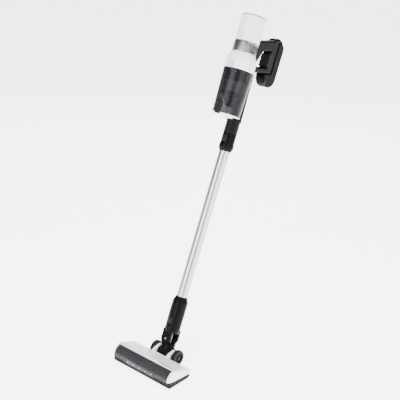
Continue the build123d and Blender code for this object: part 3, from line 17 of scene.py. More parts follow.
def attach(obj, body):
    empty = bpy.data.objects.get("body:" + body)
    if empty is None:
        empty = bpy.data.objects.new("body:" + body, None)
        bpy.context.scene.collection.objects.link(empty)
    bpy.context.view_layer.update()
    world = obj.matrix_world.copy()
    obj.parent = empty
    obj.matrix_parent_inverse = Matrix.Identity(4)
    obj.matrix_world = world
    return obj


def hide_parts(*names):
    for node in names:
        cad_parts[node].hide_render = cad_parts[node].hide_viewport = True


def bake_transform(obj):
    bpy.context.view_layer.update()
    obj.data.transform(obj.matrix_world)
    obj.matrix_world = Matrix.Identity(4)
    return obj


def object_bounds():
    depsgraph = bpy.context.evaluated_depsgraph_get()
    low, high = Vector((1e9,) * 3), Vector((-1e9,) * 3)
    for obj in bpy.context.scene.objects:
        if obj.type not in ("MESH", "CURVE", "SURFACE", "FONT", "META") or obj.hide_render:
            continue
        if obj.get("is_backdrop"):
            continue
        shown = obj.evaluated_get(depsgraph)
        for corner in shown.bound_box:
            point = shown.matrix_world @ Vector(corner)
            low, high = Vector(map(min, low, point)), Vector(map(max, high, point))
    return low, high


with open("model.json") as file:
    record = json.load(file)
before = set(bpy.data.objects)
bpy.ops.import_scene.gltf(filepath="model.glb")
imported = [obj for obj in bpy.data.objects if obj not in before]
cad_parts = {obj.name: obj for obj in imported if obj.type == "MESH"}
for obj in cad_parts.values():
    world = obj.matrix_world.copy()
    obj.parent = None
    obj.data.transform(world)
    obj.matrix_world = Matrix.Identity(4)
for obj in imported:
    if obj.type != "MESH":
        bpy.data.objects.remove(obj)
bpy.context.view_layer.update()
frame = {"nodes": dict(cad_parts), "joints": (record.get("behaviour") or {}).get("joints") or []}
MM = 0.001

# %% [markdown]
# Everything above the floor head follows the leaning stick, so places are easier to say in the
# stick's own directions: across it, towards its back, and up along it. They could be typed in as
# angles, but the joints in the record already hold them, so nothing is typed twice.

# %% The stick's own directions
joints = {joint["name"]: joint for joint in frame["joints"]}
ACROSS = Vector((1, 0, 0))
BACK = Vector(joints["neck_steer"]["axis"]).normalized()
RISE = Vector(joints["impeller_spin"]["axis"]).normalized()
PIVOT = Vector(joints["neck_steer"]["pos_m"])
AXLE = Vector(joints["head_tilt"]["pos_m"])
BRUSH = Vector(joints["brush_spin"]["pos_m"])
BODY_BACK = (Vector(joints["impeller_spin"]["pos_m"]) - PIVOT).dot(BACK)


def spot(x, w, s):
    """The point x across, w towards the back and s up the stick, in metres from the pivot."""
    return PIVOT + ACROSS * x + BACK * w + RISE * s


def extent(node, direction):
    """How far a node reaches along a direction: its least and greatest distance from the pivot."""
    reaches = [(v.co - PIVOT).dot(direction) for v in frame["nodes"][node].data.vertices]
    return min(reaches), max(reaches)


def end_radius(node, centre, top):
    """Outside radius of a round node at its lower or upper end, about the line at depth centre."""
    low, high = extent(node, RISE)
    end = high if top else low
    found = 0.0
    for v in frame["nodes"][node].data.vertices:
        offset = v.co - spot(0, centre, 0)
        height = offset.dot(RISE)
        if abs(height - end) < 0.1 * MM:
            found = max(found, (offset - RISE * height).length)
    return found


print("stick leans", round(math.degrees(math.acos(RISE.z)), 1), "degrees")

# %% [markdown]
# A studio picture of a tall thin thing is taken from far off with a long lens, so that it stays
# slim. A camera can be aimed at a target by a constraint. Here it is placed by its bearing, its
# height angle and a slight roll instead, because a constraint would leave the horizon level.

# %% The camera
AZIMUTH = math.radians(40.087)
ELEVATION = math.radians(20.13)
ROLL = math.radians(1.79)
EYE = Vector((1.3844, -1.43197, 1.29383))
LENS = 66.56

to_camera = Vector((
    math.sin(AZIMUTH) * math.cos(ELEVATION), -math.cos(AZIMUTH) * math.cos(ELEVATION), math.sin(ELEVATION)))
level_right = Vector((math.cos(AZIMUTH), math.sin(AZIMUTH), 0))
level_up = to_camera.cross(level_right)
right = level_right * math.cos(ROLL) + level_up * math.sin(ROLL)
up = level_up * math.cos(ROLL) - level_right * math.sin(ROLL)

camera = bpy.data.objects.new("camera", bpy.data.cameras.new("camera"))
camera.data.lens = LENS
camera.data.clip_end = 200
camera.matrix_world = Matrix.Translation(EYE) @ Matrix((right, up, to_camera)).transposed().to_4x4()
bpy.context.scene.collection.objects.link(camera)
bpy.context.scene.camera = camera
print("camera", round(EYE.length, 2), "m from the floor head")

# %% [markdown]
# A material here is a small network of nodes. Written node by node it is hard to read, so a thin
# wrapper lets a socket be used in ordinary sums: `0.4 + grain * 0.1` adds the Math nodes itself.
# Colours never go through such sums, because a Math node would turn them grey: they are mixed.

# %% Sockets that can be added and multiplied
class Wire:
    """An output socket that behaves like a number."""

    def __init__(self, finish, socket):
        self.finish = finish
        self.socket = socket

    def maths(self, operation, first, second=0.0):
        return self.finish.node("ShaderNodeMath", {"operation": operation}, {0: first, 1: second})

    def __add__(self, other):
        return self.maths("ADD", self, other)

    __radd__ = __add__

    def __sub__(self, other):
        return self.maths("SUBTRACT", self, other)

    def __rsub__(self, other):
        return self.maths("SUBTRACT", other, self)

    def __mul__(self, other):
        return self.maths("MULTIPLY", self, other)

    __rmul__ = __mul__


class Finish:
    """A material with one Principled shader, and the nodes that feed it."""

    def __init__(self, name, **constants):
        self.material = bpy.data.materials.new(name)
        self.material.use_nodes = True
        self.tree = self.material.node_tree
        self.shader = self.tree.nodes["Principled BSDF"]
        for socket, value in constants.items():
            self.shader.inputs[socket.replace("_", " ")].default_value = value
        self.place = self.node("ShaderNodeTexCoord", output="Object")

    def node(self, kind, settings=None, inputs=None, output=0):
        """Any node: its settings first, then what each input holds or is fed by."""
        added = self.tree.nodes.new(kind)
        for setting, value in (settings or {}).items():
            setattr(added, setting, value)
        for key, value in (inputs or {}).items():
            self.feed(added.inputs[key], value)
        return Wire(self, added.outputs[output])

    def feed(self, socket, value):
        """Link a wire to a socket, or set a plain value on it."""
        if isinstance(value, Wire):
            self.tree.links.new(value.socket, socket)
        else:
            socket.default_value = value

    def give(self, **inputs):
        """Feed the shader itself."""
        for socket, value in inputs.items():
            self.feed(self.shader.inputs[socket.replace("_", " ")], value)

    def mix(self, share, first, second):
        """A colour between two others."""
        return self.node("ShaderNodeMix", {"data_type": "RGBA"}, {0: share, 6: first, 7: second}, 2)

    def dot(self, direction):
        """Distance along a direction, as a number."""
        return self.node("ShaderNodeVectorMath", {"operation": "DOT_PRODUCT"}, {
            0: self.place, 1: tuple(direction)}, "Value")

    def noise(self, scale, detail=2.0, place=None):
        """Cloudy variation from 0 to 1, with features about 1/scale metres across."""
        return self.node("ShaderNodeTexNoise", {}, {
            "Vector": place or self.place, "Scale": scale, "Detail": detail})

    def combed(self, s, x, w):
        """Coordinates stretched in the stick's own directions, for marks that run one way."""
        return self.node("ShaderNodeCombineXYZ", {}, {
            0: self.dot(RISE) * s, 1: self.dot(ACROSS) * x, 2: self.dot(BACK) * w})

    def bump(self, height, distance):
        """Raise the surface where height is large, by up to distance."""
        self.give(Normal=self.node("ShaderNodeBump", {}, {
            "Strength": 1.0, "Distance": distance, "Height": height}))


def rgb(value, warmth=0.0, lift=1.0):
    """A near-neutral colour: positive warmth leans to red, negative to blue."""
    return (value * lift * (1 + warmth), value * lift, value * lift * (1 - warmth), 1)


print("shader kit ready")

# %% [markdown]
# Moulded plastic is never perfectly even. A steel mould leaves a fine spark-eroded grain on matt
# parts and almost none on glossy ones, the melt leaves faint clouds in the colour, and handling
# leaves smudges that only show in the gloss. Painted image maps could hold all that, but noise has
# no seams and no size limit, so one function makes every plastic from a few numbers.

# %% Moulded plastics
def moulded(name, value, roughness, grain, warmth=0.0, coat=0.0, smudge=0.06, gloss=0.5):
    """A moulded plastic: how pale, how rough, and how deep its grain is in millimetres."""
    finish = Finish(name, Coat_Weight=coat, Coat_Roughness=0.12, Specular_IOR_Level=gloss)
    clouds = finish.noise(11, 3)
    smudges = finish.noise(38, 4)
    eroded = finish.noise(2600, 2)
    share = clouds * 0.75 + eroded * 0.25
    finish.give(
        Base_Color=finish.mix(share, rgb(value, warmth, 0.93), rgb(value, warmth, 1.05)),
        Roughness=roughness - smudge / 2 + smudges * smudge + eroded * 0.05,
    )
    finish.bump(eroded, grain * MM)
    return finish.material


white_shell = moulded("white_shell", 0.7, 0.3, 0.012, warmth=-0.004, coat=0.25, smudge=0.05)
head_white = moulded("head_white", 0.78, 0.33, 0.014, warmth=-0.022, coat=0.2, smudge=0.05)
top_grey = moulded("top_grey", 0.42, 0.48, 0.03)
rim_grey = moulded("rim_grey", 0.05, 0.4, 0.02)
lid_pale = moulded("lid_pale", 0.72, 0.32, 0.015, smudge=0.08)
button_pale = moulded("button_pale", 0.58, 0.38, 0.02, warmth=0.01)
handle_black = moulded("handle_black", 0.0018, 0.32, 0.05, warmth=-0.03, gloss=0.05)
grip_black = moulded("grip_black", 0.009, 0.6, 0.12, gloss=0.06)
socket_grey = moulded("socket_grey", 0.002, 0.32, 0.05, gloss=0.05)
band_grey = moulded("band_grey", 0.009, 0.42, 0.04, gloss=0.08)
battery_black = moulded("battery_black", 0.0015, 0.36, 0.06, warmth=-0.02, gloss=0.04)
base_black = moulded("base_black", 0.004, 0.46, 0.06, smudge=0.12, gloss=0.06)
cyclone_dark = moulded("cyclone_dark", 0.008, 0.45, 0.03, gloss=0.1)
# This grey also paints a highlight line just inside the battery's edge.
control_grey_and_highlight = moulded("control_grey_and_highlight", 0.008, 0.4, 0.03, gloss=0.08)
print("finishes so far:", len(bpy.data.materials))

# %% [markdown]
# Smoked plastic is clear plastic with a dark dye, so some of what lies behind it shows through:
# more in the bin, less in the window and the lamp strip. Glass that bends light would be truer, but
# thin moulded walls barely bend it and it renders slowly, so Alpha does the work. At a grazing
# angle more light is reflected and less comes through, which is what makes the edges of a bin look
# darker: Layer Weight gives that.

# %% Smoked and clear plastics
def smoked(name, tint, body, edge, roughness):
    """A dyed clear plastic: body is how solid it is face on, and edge is what its rim adds."""
    finish = Finish(name, IOR=1.49, Specular_IOR_Level=0.16)
    grazing = finish.node("ShaderNodeLayerWeight", {}, {"Blend": 0.35}, "Facing")
    dust = finish.noise(420, 3)
    film = finish.noise(26, 3)
    finish.give(
        Base_Color=finish.mix(film, tint, tuple(min(1, c * 1.35) for c in tint)),
        Alpha=body + grazing * edge + (dust - 0.5) * 0.02,
        Roughness=roughness + film * 0.06,
    )
    finish.bump(dust, 0.004 * MM)
    return finish.material


bin_smoke = smoked("bin_smoke", (0.007, 0.0073, 0.009, 1), 0.62, 0.3, 0.07)
window_smoke = smoked("window_smoke", (0.02, 0.02, 0.022, 1), 0.84, 0.14, 0.16)
lens_clear = smoked("lens_clear", (0.035, 0.036, 0.04, 1), 0.9, 0.08, 0.3)
print("finishes so far:", len(bpy.data.materials))

# %% [markdown]
# Three metals show. The wand is drawn and anodised, so its fine lines run along it. The exhaust
# ring is turned, so its lines run around it. Small steel parts only need a soft cloudy roughness.
# A line is a noise pattern squeezed hard in one direction and left long in the other. The metals
# inside, on the shroud and the motors, are made the same way.

# %% Metals
def lined_metal(name, colour, roughness, s, x, w, depth):
    """A metal with fine lines: s, x and w say how tightly they lie up, across and backwards."""
    finish = Finish(name, Metallic=1.0)
    lines = finish.noise(1, 2, finish.combed(s, x, w))
    clouds = finish.noise(14, 3)
    dark = tuple(c * 0.86 for c in colour[:3]) + (1,)
    finish.give(
        Base_Color=finish.mix(lines * 0.6 + clouds * 0.4, dark, colour),
        Roughness=roughness + (lines - 0.5) * 0.16 + (clouds - 0.5) * 0.08,
    )
    finish.bump(lines, depth * MM)
    return finish.material


wand_metal = lined_metal("wand_metal", (0.46, 0.46, 0.47, 1), 0.3, 9, 3200, 3200, 0.006)
ring_metal = lined_metal("ring_metal", (0.26, 0.245, 0.225, 1), 0.3, 5200, 45, 45, 0.01)
shroud_metal = lined_metal("shroud_metal", (0.6, 0.6, 0.62, 1), 0.38, 2400, 60, 60, 0.008)
steel = lined_metal("steel", (0.62, 0.62, 0.63, 1), 0.28, 900, 900, 900, 0.006)
motor_metal = lined_metal("motor_metal", (0.5, 0.5, 0.53, 1), 0.36, 1800, 50, 50, 0.01)
copper = lined_metal("copper", (0.72, 0.36, 0.2, 1), 0.35, 60, 2200, 2200, 0.03)
print("finishes so far:", len(bpy.data.materials))

# %% [markdown]
# Rubber scatters light from a dusty skin. Filter paper, felt and tufts are fibres. Strands could be
# modelled one by one, but at this size they are finer than the eye sees. Each finish is one noise
# pattern for the fibre and one for the dirt that settles in it.

# %% Rubber, felt, fibre and small parts
def soft(name, value, roughness, scale, depth, warmth=0.0, dust=0.35):
    """Rubber or fibre: scale says how fine it is, and dust how much grime shows."""
    finish = Finish(name, Specular_IOR_Level=0.15, Sheen_Weight=0.04, Sheen_Roughness=0.5)
    fibre = finish.noise(scale, 4)
    grime = finish.noise(55, 5)
    finish.give(
        Base_Color=finish.mix(
            fibre * (1 - dust) + grime * dust, rgb(value, warmth, 0.72), rgb(value, warmth, 1.25)),
        Roughness=roughness + (fibre - 0.5) * 0.12,
    )
    finish.bump(fibre, depth * MM)
    return finish.material


tyre_rubber = soft("tyre_rubber", 0.004, 0.62, 900, 0.05)
seal_rubber = soft("seal_rubber", 0.006, 0.55, 1200, 0.02)
hose_rubber = soft("hose_rubber", 0.3, 0.5, 800, 0.03, warmth=-0.01)
belt_rubber = soft("belt_rubber", 0.02, 0.6, 1500, 0.04)
felt = soft("felt", 0.16, 0.9, 1500, 0.2, dust=0.5)
filter_paper = soft("filter_paper", 0.72, 0.85, 1200, 0.1, warmth=0.03, dust=0.2)
tuft_dark = soft("tuft_dark", 0.06, 0.6, 500, 0.02)
tuft_pale = soft("tuft_pale", 0.34, 0.6, 500, 0.02, warmth=0.02)


def circuit_board():
    """Green lacquer over copper tracks, which show as slightly raised paths."""
    finish = Finish("circuit_board", Coat_Weight=0.4)
    tracks = finish.node("ShaderNodeTexBrick", {"offset": 0.35}, {
        "Vector": finish.place, "Scale": 90.0, "Mortar Size": 0.03}, "Fac")
    finish.give(
        Base_Color=finish.mix(tracks, (0.01, 0.12, 0.05, 1), (0.03, 0.26, 0.12, 1)),
        Roughness=0.35 + finish.noise(300) * 0.1,
    )
    finish.bump(tracks, 0.05 * MM)
    return finish.material


def cell_wrap():
    """Blue shrink film, a little crumpled where it draws in at the ends."""
    finish = Finish("cell_wrap", Coat_Weight=0.3)
    crumple = finish.noise(160, 4)
    finish.give(
        Base_Color=finish.mix(crumple, (0.03, 0.12, 0.28, 1), (0.05, 0.2, 0.42, 1)),
        Roughness=0.25 + crumple * 0.2,
    )
    finish.bump(crumple, 0.1 * MM)
    return finish.material


def glowing(name, colour, strength):
    """A lamp: its middle is brighter than its rim."""
    finish = Finish(name, Emission_Strength=strength, Roughness=0.2)
    cloud = finish.noise(900, 1)
    finish.give(
        Base_Color=finish.mix(cloud, colour, (0.9, 0.9, 0.9, 1)),
        Emission_Color=finish.mix(cloud, colour, (1, 1, 1, 1)),
    )
    return finish.material


def display_black():
    """A black window whose gloss shows a faint ripple."""
    finish = Finish("display_black", Coat_Weight=1.0, Coat_Roughness=0.03)
    ripple = finish.noise(60, 2)
    finish.give(
        Base_Color=finish.mix(ripple, (0.006, 0.006, 0.008, 1), (0.014, 0.014, 0.018, 1)),
        Roughness=0.08 + ripple * 0.05,
    )
    finish.bump(ripple, 0.02 * MM)
    return finish.material


board_green = circuit_board()
cell_blue = cell_wrap()
lamp_white = glowing("lamp_white", (0.8, 0.88, 1.0, 1), 1.2)
lamp_cyan = glowing("lamp_cyan", (0.08, 0.3, 0.4, 1), 0.15)
display_glass = display_black()
# The first of these also paints the shade under the rim, and the second the shade inside the ring, in its
# slots, round the bin's button and along the handle's seam, besides printed marks and dark parts.
mark_and_shade_grey = moulded("mark_and_shade_grey", 0.008, 0.5, 0.01, gloss=0.05)
mark_and_shade_dark = moulded("mark_and_shade_dark", 0.002, 0.6, 0.01, gloss=0.03)
print("all finishes made:", len(bpy.data.materials))

# %% [markdown]
# The frame's nodes now take their finishes from one list. A shell straight from the working model has knife
# edges, and nothing real does: even a sharp moulding has a rounded edge a third of a millimetre
# wide, and that is where the light catches. A Bevel modifier adds it without moving the part.

# %% Finishes on the frame's nodes
node_finish = {
    white_shell: ["motor_housing", "shoulder_cover"],
    rim_grey: ["top_rim"],
    head_white: ["head_cover", "end_cap_left", "end_cap_right"],
    top_grey: ["top_cap"],
    display_glass: ["display_lens"],
    ring_metal: ["exhaust_ring"],
    button_pale: ["bin_release"],
    band_grey: ["lid_latch"],
    bin_smoke: ["bin_shell"],
    window_smoke: ["brush_window"],
    lens_clear: ["led_lens"],
    lid_pale: ["bin_lid"],
    seal_rubber: ["lid_seal"],
    grip_black: ["grip_pad"],
    felt: ["glide_strip"],
    cyclone_dark: ["cyclone_body", "impeller", "brush_core", "wand_inserts"],
    shroud_metal: ["mesh_shroud"],
    handle_black: ["duct_spine", "handle_left", "handle_right"],
    socket_grey: ["wand_socket", "foot_collar", "neck_body", "wheel_hub_left", "wheel_hub_right"],
    base_black: ["head_base"],
    control_grey_and_highlight: ["power_button", "mode_button", "wand_release", "foot_release", "battery_latch"],
    mark_and_shade_dark: ["brush_release"],
    battery_black: ["battery_case"],
    wand_metal: ["wand_tube"],
    steel: ["handle_screws", "steering_pins", "axle_pins", "motor_pulley", "battery_terminals"],
    motor_metal: ["motor_case", "brush_motor"],
    copper: ["motor_core"],
    filter_paper: ["hepa_filter", "pre_filter"],
    board_green: ["control_board"],
    cell_blue: ["battery_cells"],
    belt_rubber: ["wand_wiring", "drive_belt"],
    hose_rubber: ["flexible_hose"],
    tuft_dark: ["brush_bristles"],
    tyre_rubber: ["wheel_tyre_left", "wheel_tyre_right", "front_roller_left", "front_roller_right"],
}
for material, names in node_finish.items():
    for name in names:
        mesh = frame["nodes"][name].data
        mesh.materials.clear()
        mesh.materials.append(material)

EDGE_WIDTH = {
    "motor_housing": 0.3, "top_rim": 0.25, "exhaust_ring": 0.25, "shoulder_cover": 0.4, "bin_release": 0.5,
    "duct_spine": 0.5, "wand_socket": 0.5, "wand_release": 0.5, "foot_collar": 0.5, "foot_release": 0.5,
    "neck_body": 0.5, "head_cover": 0.6, "head_base": 0.6, "end_cap_left": 0.5, "end_cap_right": 0.5,
    "lid_latch": 0.6, "led_lens": 0.4, "grip_pad": 0.5, "wheel_hub_left": 0.4, "wheel_hub_right": 0.4,
}


def soften(node, width):
    """Weld the imported seams, round the sharp edges and keep the flat faces flat."""
    weld = node.modifiers.new("weld", "WELD")
    weld.merge_threshold = 0.002 * MM
    bevel = node.modifiers.new("rounded_edges", "BEVEL")
    bevel.width = width * MM
    bevel.segments = 2
    bevel.limit_method = "ANGLE"
    bevel.angle_limit = math.radians(38)
    bevel.harden_normals = True


for name, width in EDGE_WIDTH.items():
    soften(frame["nodes"][name], width)
print("frame nodes finished:", sum(len(names) for names in node_finish.values()))

# %% [markdown]
# What follows is too fine for the working model. Each piece is a list of points and the faces
# between them. It rides on the body that carries it on the real cleaner, so it moves with it.

# %% Making a piece
def made(name, verts, faces, material, body, slot):
    """A new piece, finished and set to ride on its body; its slot is not used."""
    mesh = bpy.data.meshes.new(name)
    mesh.from_pydata([tuple(v) for v in verts], [], faces)
    mesh.materials.append(material)
    for polygon in mesh.polygons:
        polygon.use_smooth = True
    mesh.set_sharp_from_angle(angle=math.radians(35))
    piece = bpy.data.objects.new(name, mesh)
    bpy.context.scene.collection.objects.link(piece)
    if body:
        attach(piece, body)
    return piece


def loops(rings, closed=True):
    """Faces between rings of equally many points; closed also joins the last ring to the first."""
    verts = [point for ring in rings for point in ring]
    count = len(rings[0])
    faces = []
    for a in range(len(rings) if closed else len(rings) - 1):
        after = (a + 1) % len(rings)
        for b in range(count):
            c = (b + 1) % count
            faces.append((a * count + b, a * count + c, after * count + c, after * count + b))
    if not closed:
        faces.append(tuple(range(count)))
        faces.append(tuple(reversed(range(len(verts) - count, len(verts)))))
    return verts, faces


def lathe(outline, foot, axis, start=0.0, sweep=360.0, steps=96, wave=None):
    """A closed outline of (radius, height) pairs carried round an axis.

    A pair with a third value, 1, has its radius shifted by wave(step).
    """
    first = ACROSS if abs(axis.dot(ACROSS)) < 0.5 else Vector((0, -1, 0))
    second = axis.cross(first)
    whole = sweep > 359
    corners = [corner if len(corner) == 3 else (*corner, 0) for corner in outline]
    rings = []
    for step in range(steps if whole else steps + 1):
        turn = math.radians(start + sweep * step / steps)
        outward = first * math.cos(turn) + second * math.sin(turn)
        grow = wave(step) if wave else 0.0
        rings.append([foot + outward * (radius + grow * waved) + axis * height
                      for radius, height, waved in corners])
    return loops(rings, whole)


def merged(parts):
    """Several lists of points and faces made into one."""
    verts = []
    faces = []
    for more_verts, more_faces in parts:
        faces += [tuple(index + len(verts) for index in face) for face in more_faces]
        verts += more_verts
    return verts, faces


CORNERS = ((-1, -1), (1, -1), (1, 1), (-1, 1))


def bar(centre, along, across, up):
    """A small block with its top edges drawn in, from its middle and its three half sizes."""
    low = [centre + along * a + across * b - up for a, b in CORNERS]
    high = [centre + along * a * 0.86 + across * b * 0.7 + up for a, b in CORNERS]
    return loops([low, high], False)


def box_ring(low, high, inner, outer):
    """The outline of a band between two heights and two radii."""
    return [(inner, low), (outer, low), (outer, high), (inner, high)]


trees = {}


def surface(node, origin, direction, lift=0.06 * MM):
    """Where a straight line first meets a node, lifted a hair off it."""
    if node not in trees:
        mesh = frame["nodes"][node].data
        corners = [v.co for v in mesh.vertices]
        trees[node] = BVHTree.FromPolygons(corners, [polygon.vertices for polygon in mesh.polygons])
    hit = trees[node].ray_cast(origin, direction)[0]
    return hit - direction.normalized() * lift if hit else None


def printed(node, places, direction, width, lift=0.06 * MM, closed=False):
    """A line of even width laid on a node, following a list of places that it is thrown from."""
    sides = ([], [])
    count = len(places)
    for index in range(count):
        before = places[(index - 1) % count if closed else max(index - 1, 0)]
        after = places[(index + 1) % count if closed else min(index + 1, count - 1)]
        sideways = direction.cross(after - before).normalized() * width / 2
        for side, sign in zip(sides, (-1, 1)):
            side.append(surface(node, places[index] + sideways * sign, direction, lift))
    kept = [index for index in range(count) if sides[0][index] and sides[1][index]]
    renumber = {old: new for new, old in enumerate(kept)}
    verts = [point for index in kept for point in (sides[0][index], sides[1][index])]
    faces = []
    for index in kept:
        follow = (index + 1) % count if closed else index + 1
        if follow in renumber:
            a = 2 * renumber[index]
            b = 2 * renumber[follow]
            faces.append((a, a + 1, b + 1, b))
    return verts, faces


def strip(pairs):
    """The points and faces of a strip, from the pairs of points along its two edges."""
    verts = [point for pair in pairs for point in pair]
    return verts, [(2 * k, 2 * k + 1, 2 * k + 3, 2 * k + 2) for k in range(len(pairs) - 1)]


def around(centre, first, second, radius, count=40, start=0.0, sweep=360.0):
    """Points on a circle or an arc."""
    last = count if sweep > 359 else count - 1
    return [
        centre + first * radius * math.cos(math.radians(start + sweep * k / last))
        + second * radius * math.sin(math.radians(start + sweep * k / last)) for k in range(count)]


BODY = spot(0, BODY_BACK, 0)
FRONT = -BACK
print("piece kit ready")

# %% [markdown]
# The motor housing carries three small plain marks down its front and a short one at its side.
# They could be painted by the material, but a thin skin laid on the surface keeps a clean edge
# at any distance. Lines thrown from in front find the curved surface by themselves.

# %% Marks on the motor housing
housing_low = extent("motor_housing", RISE)[0]
before_housing = spot(1.6 * MM, BODY_BACK - 0.1, 0)


def housing_point(x, s):
    """A place in front of the housing, x across and s above its foot, in millimetres."""
    return before_housing + ACROSS * x * MM + RISE * (housing_low + s * MM)


circle = around(housing_point(0, 16), ACROSS, RISE, 7.6 * MM)
dash = [housing_point(x, 40) for x in (-1.8, -0.6, 0.6, 1.8)]
chevron = [housing_point(1.3 * k, 55.2 + 1.4 * abs(k)) for k in (-2, -1, 0, 1, 2)]
marks = [
    printed("motor_housing", circle, BACK, 1.0 * MM, closed=True),
    printed("motor_housing", dash, BACK, 1.5 * MM),
    printed("motor_housing", chevron, BACK, 1.3 * MM),
]
made("housing_marks", *merged(marks), mark_and_shade_grey, "handheld", "button_grey")
side_look = (BACK * 0.35 - ACROSS).normalized()
side_start = spot(0.1, BODY_BACK - 0.035, housing_low + 62 * MM)
side_dash = [side_start + RISE * k * MM for k in (-3, -1, 1, 3)]
side_mark = printed("motor_housing", side_dash, side_look, 0.9 * MM)
made("housing_side_mark", *side_mark, mark_and_shade_grey, "handheld", "button_grey")
print("housing marks:", len(marks) + 1)

# %% [markdown]
# The white shells meet the metal ring and the rim at fine gaps that read as grey lines, because they
# are in shade. Grooves would have to be cut in the frame's own shells, so the shade under the rim is
# painted as a thin added ring instead, and the ring's slots look in on a dark sleeve of painted shade.
# Each is a plain section carried round the body's axis.

# %% Rings round the body
ring_low, ring_high = extent("exhaust_ring", RISE)
ring_radius = end_radius("exhaust_ring", BODY_BACK, True)
rim_low = extent("top_rim", RISE)[0]
housing_radius = end_radius("motor_housing", BODY_BACK, True)
# A thin dark ring of painted shade, standing for the gap below the rim.
made("rim_gap_shade", *lathe(box_ring(
    rim_low - 0.25 * MM, rim_low + 0.15 * MM, housing_radius - 1.2 * MM, housing_radius + 0.05 * MM),
    BODY, RISE), mark_and_shade_grey, "handheld", "button_grey")
# A dark sleeve of painted shade, seen through the ring's slots.
made("ring_shade_sleeve", *lathe(box_ring(
    ring_low + 3 * MM, ring_high - 3 * MM, ring_radius - 3.3 * MM, ring_radius - 2.75 * MM),
    BODY, RISE), mark_and_shade_dark, "handheld", "cyclone_grey")
made("ring_flange", *lathe(box_ring(
    ring_low - 0.1 * MM, ring_low + 0.7 * MM, ring_radius - 1 * MM, ring_radius + 0.35 * MM),
    BODY, RISE), lid_pale, "handheld", "white_shell")
made("ring_top_band", *lathe(box_ring(
    ring_high - 1.2 * MM, ring_high - 0.5 * MM, ring_radius - 1 * MM, ring_radius + 0.2 * MM),
    BODY, RISE), steel, "handheld", "ring_metal")
print("ring radius", round(ring_radius / MM, 2), "mm")

# %% [markdown]
# Behind the ring's leaning slots lies a fine dark screen, but most of the dark in the slots is shade.
# The sleeve alone would leave the slots' bright walls in view, so each slot gets its own strip of
# painted shade, set where the slot is: further back the slots lean more. A strip follows the ring
# because each of its points is pushed out to the same radius.

# %% Painted shade in the exhaust slots
SLOTS_EACH_SIDE = 14
SLOT_FIRST = 52              # degrees round from the front
SLOT_PITCH = 7
SLOT_LEAN = 12               # degrees, on the first slot
SLOT_LEAN_STEP = 2.6
SHADE_STRIP_DEPTH = 0.86 * MM     # below the ring's widest radius
SHADE_STRIP_HALF_LENGTH = 11.2 * MM
SHADE_STRIP_HALF_WIDTH = 1.3 * MM
SHADE_STRIP_SECTION = ((-1, 0.05), (1, 0.05), (1, -0.9), (-1, -0.9))

ring_wide = max(((v.co - BODY) - RISE * (v.co - BODY).dot(RISE)).length
                for v in frame["nodes"]["exhaust_ring"].data.vertices) - SHADE_STRIP_DEPTH
slot_middle = (ring_low + ring_high) / 2 + 1.5 * MM
shade_strips = []
for flank in (1, -1):
    for number in range(SLOTS_EACH_SIDE):
        turn = math.radians(SLOT_FIRST + SLOT_PITCH * number)
        outward = ACROSS * flank * math.sin(turn) - BACK * math.cos(turn)
        tangent = outward.cross(RISE)
        lean = math.radians(flank * (SLOT_LEAN + SLOT_LEAN_STEP * number))
        along = RISE * math.cos(lean) + tangent * math.sin(lean)
        sideways = tangent * math.cos(lean) - RISE * math.sin(lean)
        rows = []
        for k in range(9):
            reach = (k - 4) / 4
            half_width = SHADE_STRIP_HALF_WIDTH * math.sqrt(max(0.05, 1 - reach ** 6))
            centre = outward * ring_wide + along * reach * SHADE_STRIP_HALF_LENGTH
            row = []
            for sign, depth in SHADE_STRIP_SECTION:
                point = centre + sideways * half_width * sign
                height = point.dot(RISE)
                flat = (point - RISE * height).normalized()
                row.append(BODY + flat * (ring_wide + depth * MM) + RISE * (slot_middle + height))
            rows.append(row)
        shade_strips.append(loops(rows, False))
# Dark strips of painted shade fill the slots.
made("slot_shade_strips", *merged(shade_strips), mark_and_shade_dark, "handheld", "cyclone_grey")
print("slot screens:", len(shade_strips))

# %% [markdown]
# The display is a dark window with a ring of short lamp segments and four short lit bars. They
# sit a hair above the window, because light from under smoked glass would need many more samples.

# %% The display's lamps
display_high = extent("display_lens", RISE)[1]
segment = box_ring(display_high, display_high + 0.12 * MM, 8.6 * MM, 9.8 * MM)
lamps = [lathe(segment, BODY, RISE, 15 * k - 5, 10, 4) for k in range(24)]
made("display_segments", *merged(lamps), lamp_cyan, "handheld", "display")
lit_bars = [
    bar(spot(x * MM, BODY_BACK + w * MM, display_high + 0.06 * MM),
        ACROSS * 1.7 * MM, BACK * 0.4 * MM, RISE * 0.06 * MM)
    for x, w in ((-3, -3), (-3, 3), (3, 0), (3, -3))
]
made("display_bars", *merged(lit_bars), lamp_white, "handheld", "display")
print("display segments:", len(lamps))

# %% [markdown]
# The bin's release button shows because of the shaded gap round it. The real gap in the frame is too
# fine to read from afar, so its shade is painted as a thin dark line round it: two sides and a half
# circle, thrown on the shoulder from in front. Three short ribs go on the button in the same way.

# %% Painted shade in the gap round the bin's button
button_low, button_high = extent("bin_release", RISE)
button_half = max(abs(v.co.x) for v in frame["nodes"]["bin_release"].data.vertices) + 1.0 * MM
arch_centre = spot(0, BODY_BACK - 0.1, button_high + 1.0 * MM - button_half)
arch = [arch_centre - ACROSS * button_half - RISE * k * MM for k in (7, 5, 3, 1)]
arch += around(arch_centre, ACROSS, RISE, button_half, 21, 180, -180)
arch += [arch_centre + ACROSS * button_half - RISE * k * MM for k in (1, 3, 5, 7)]
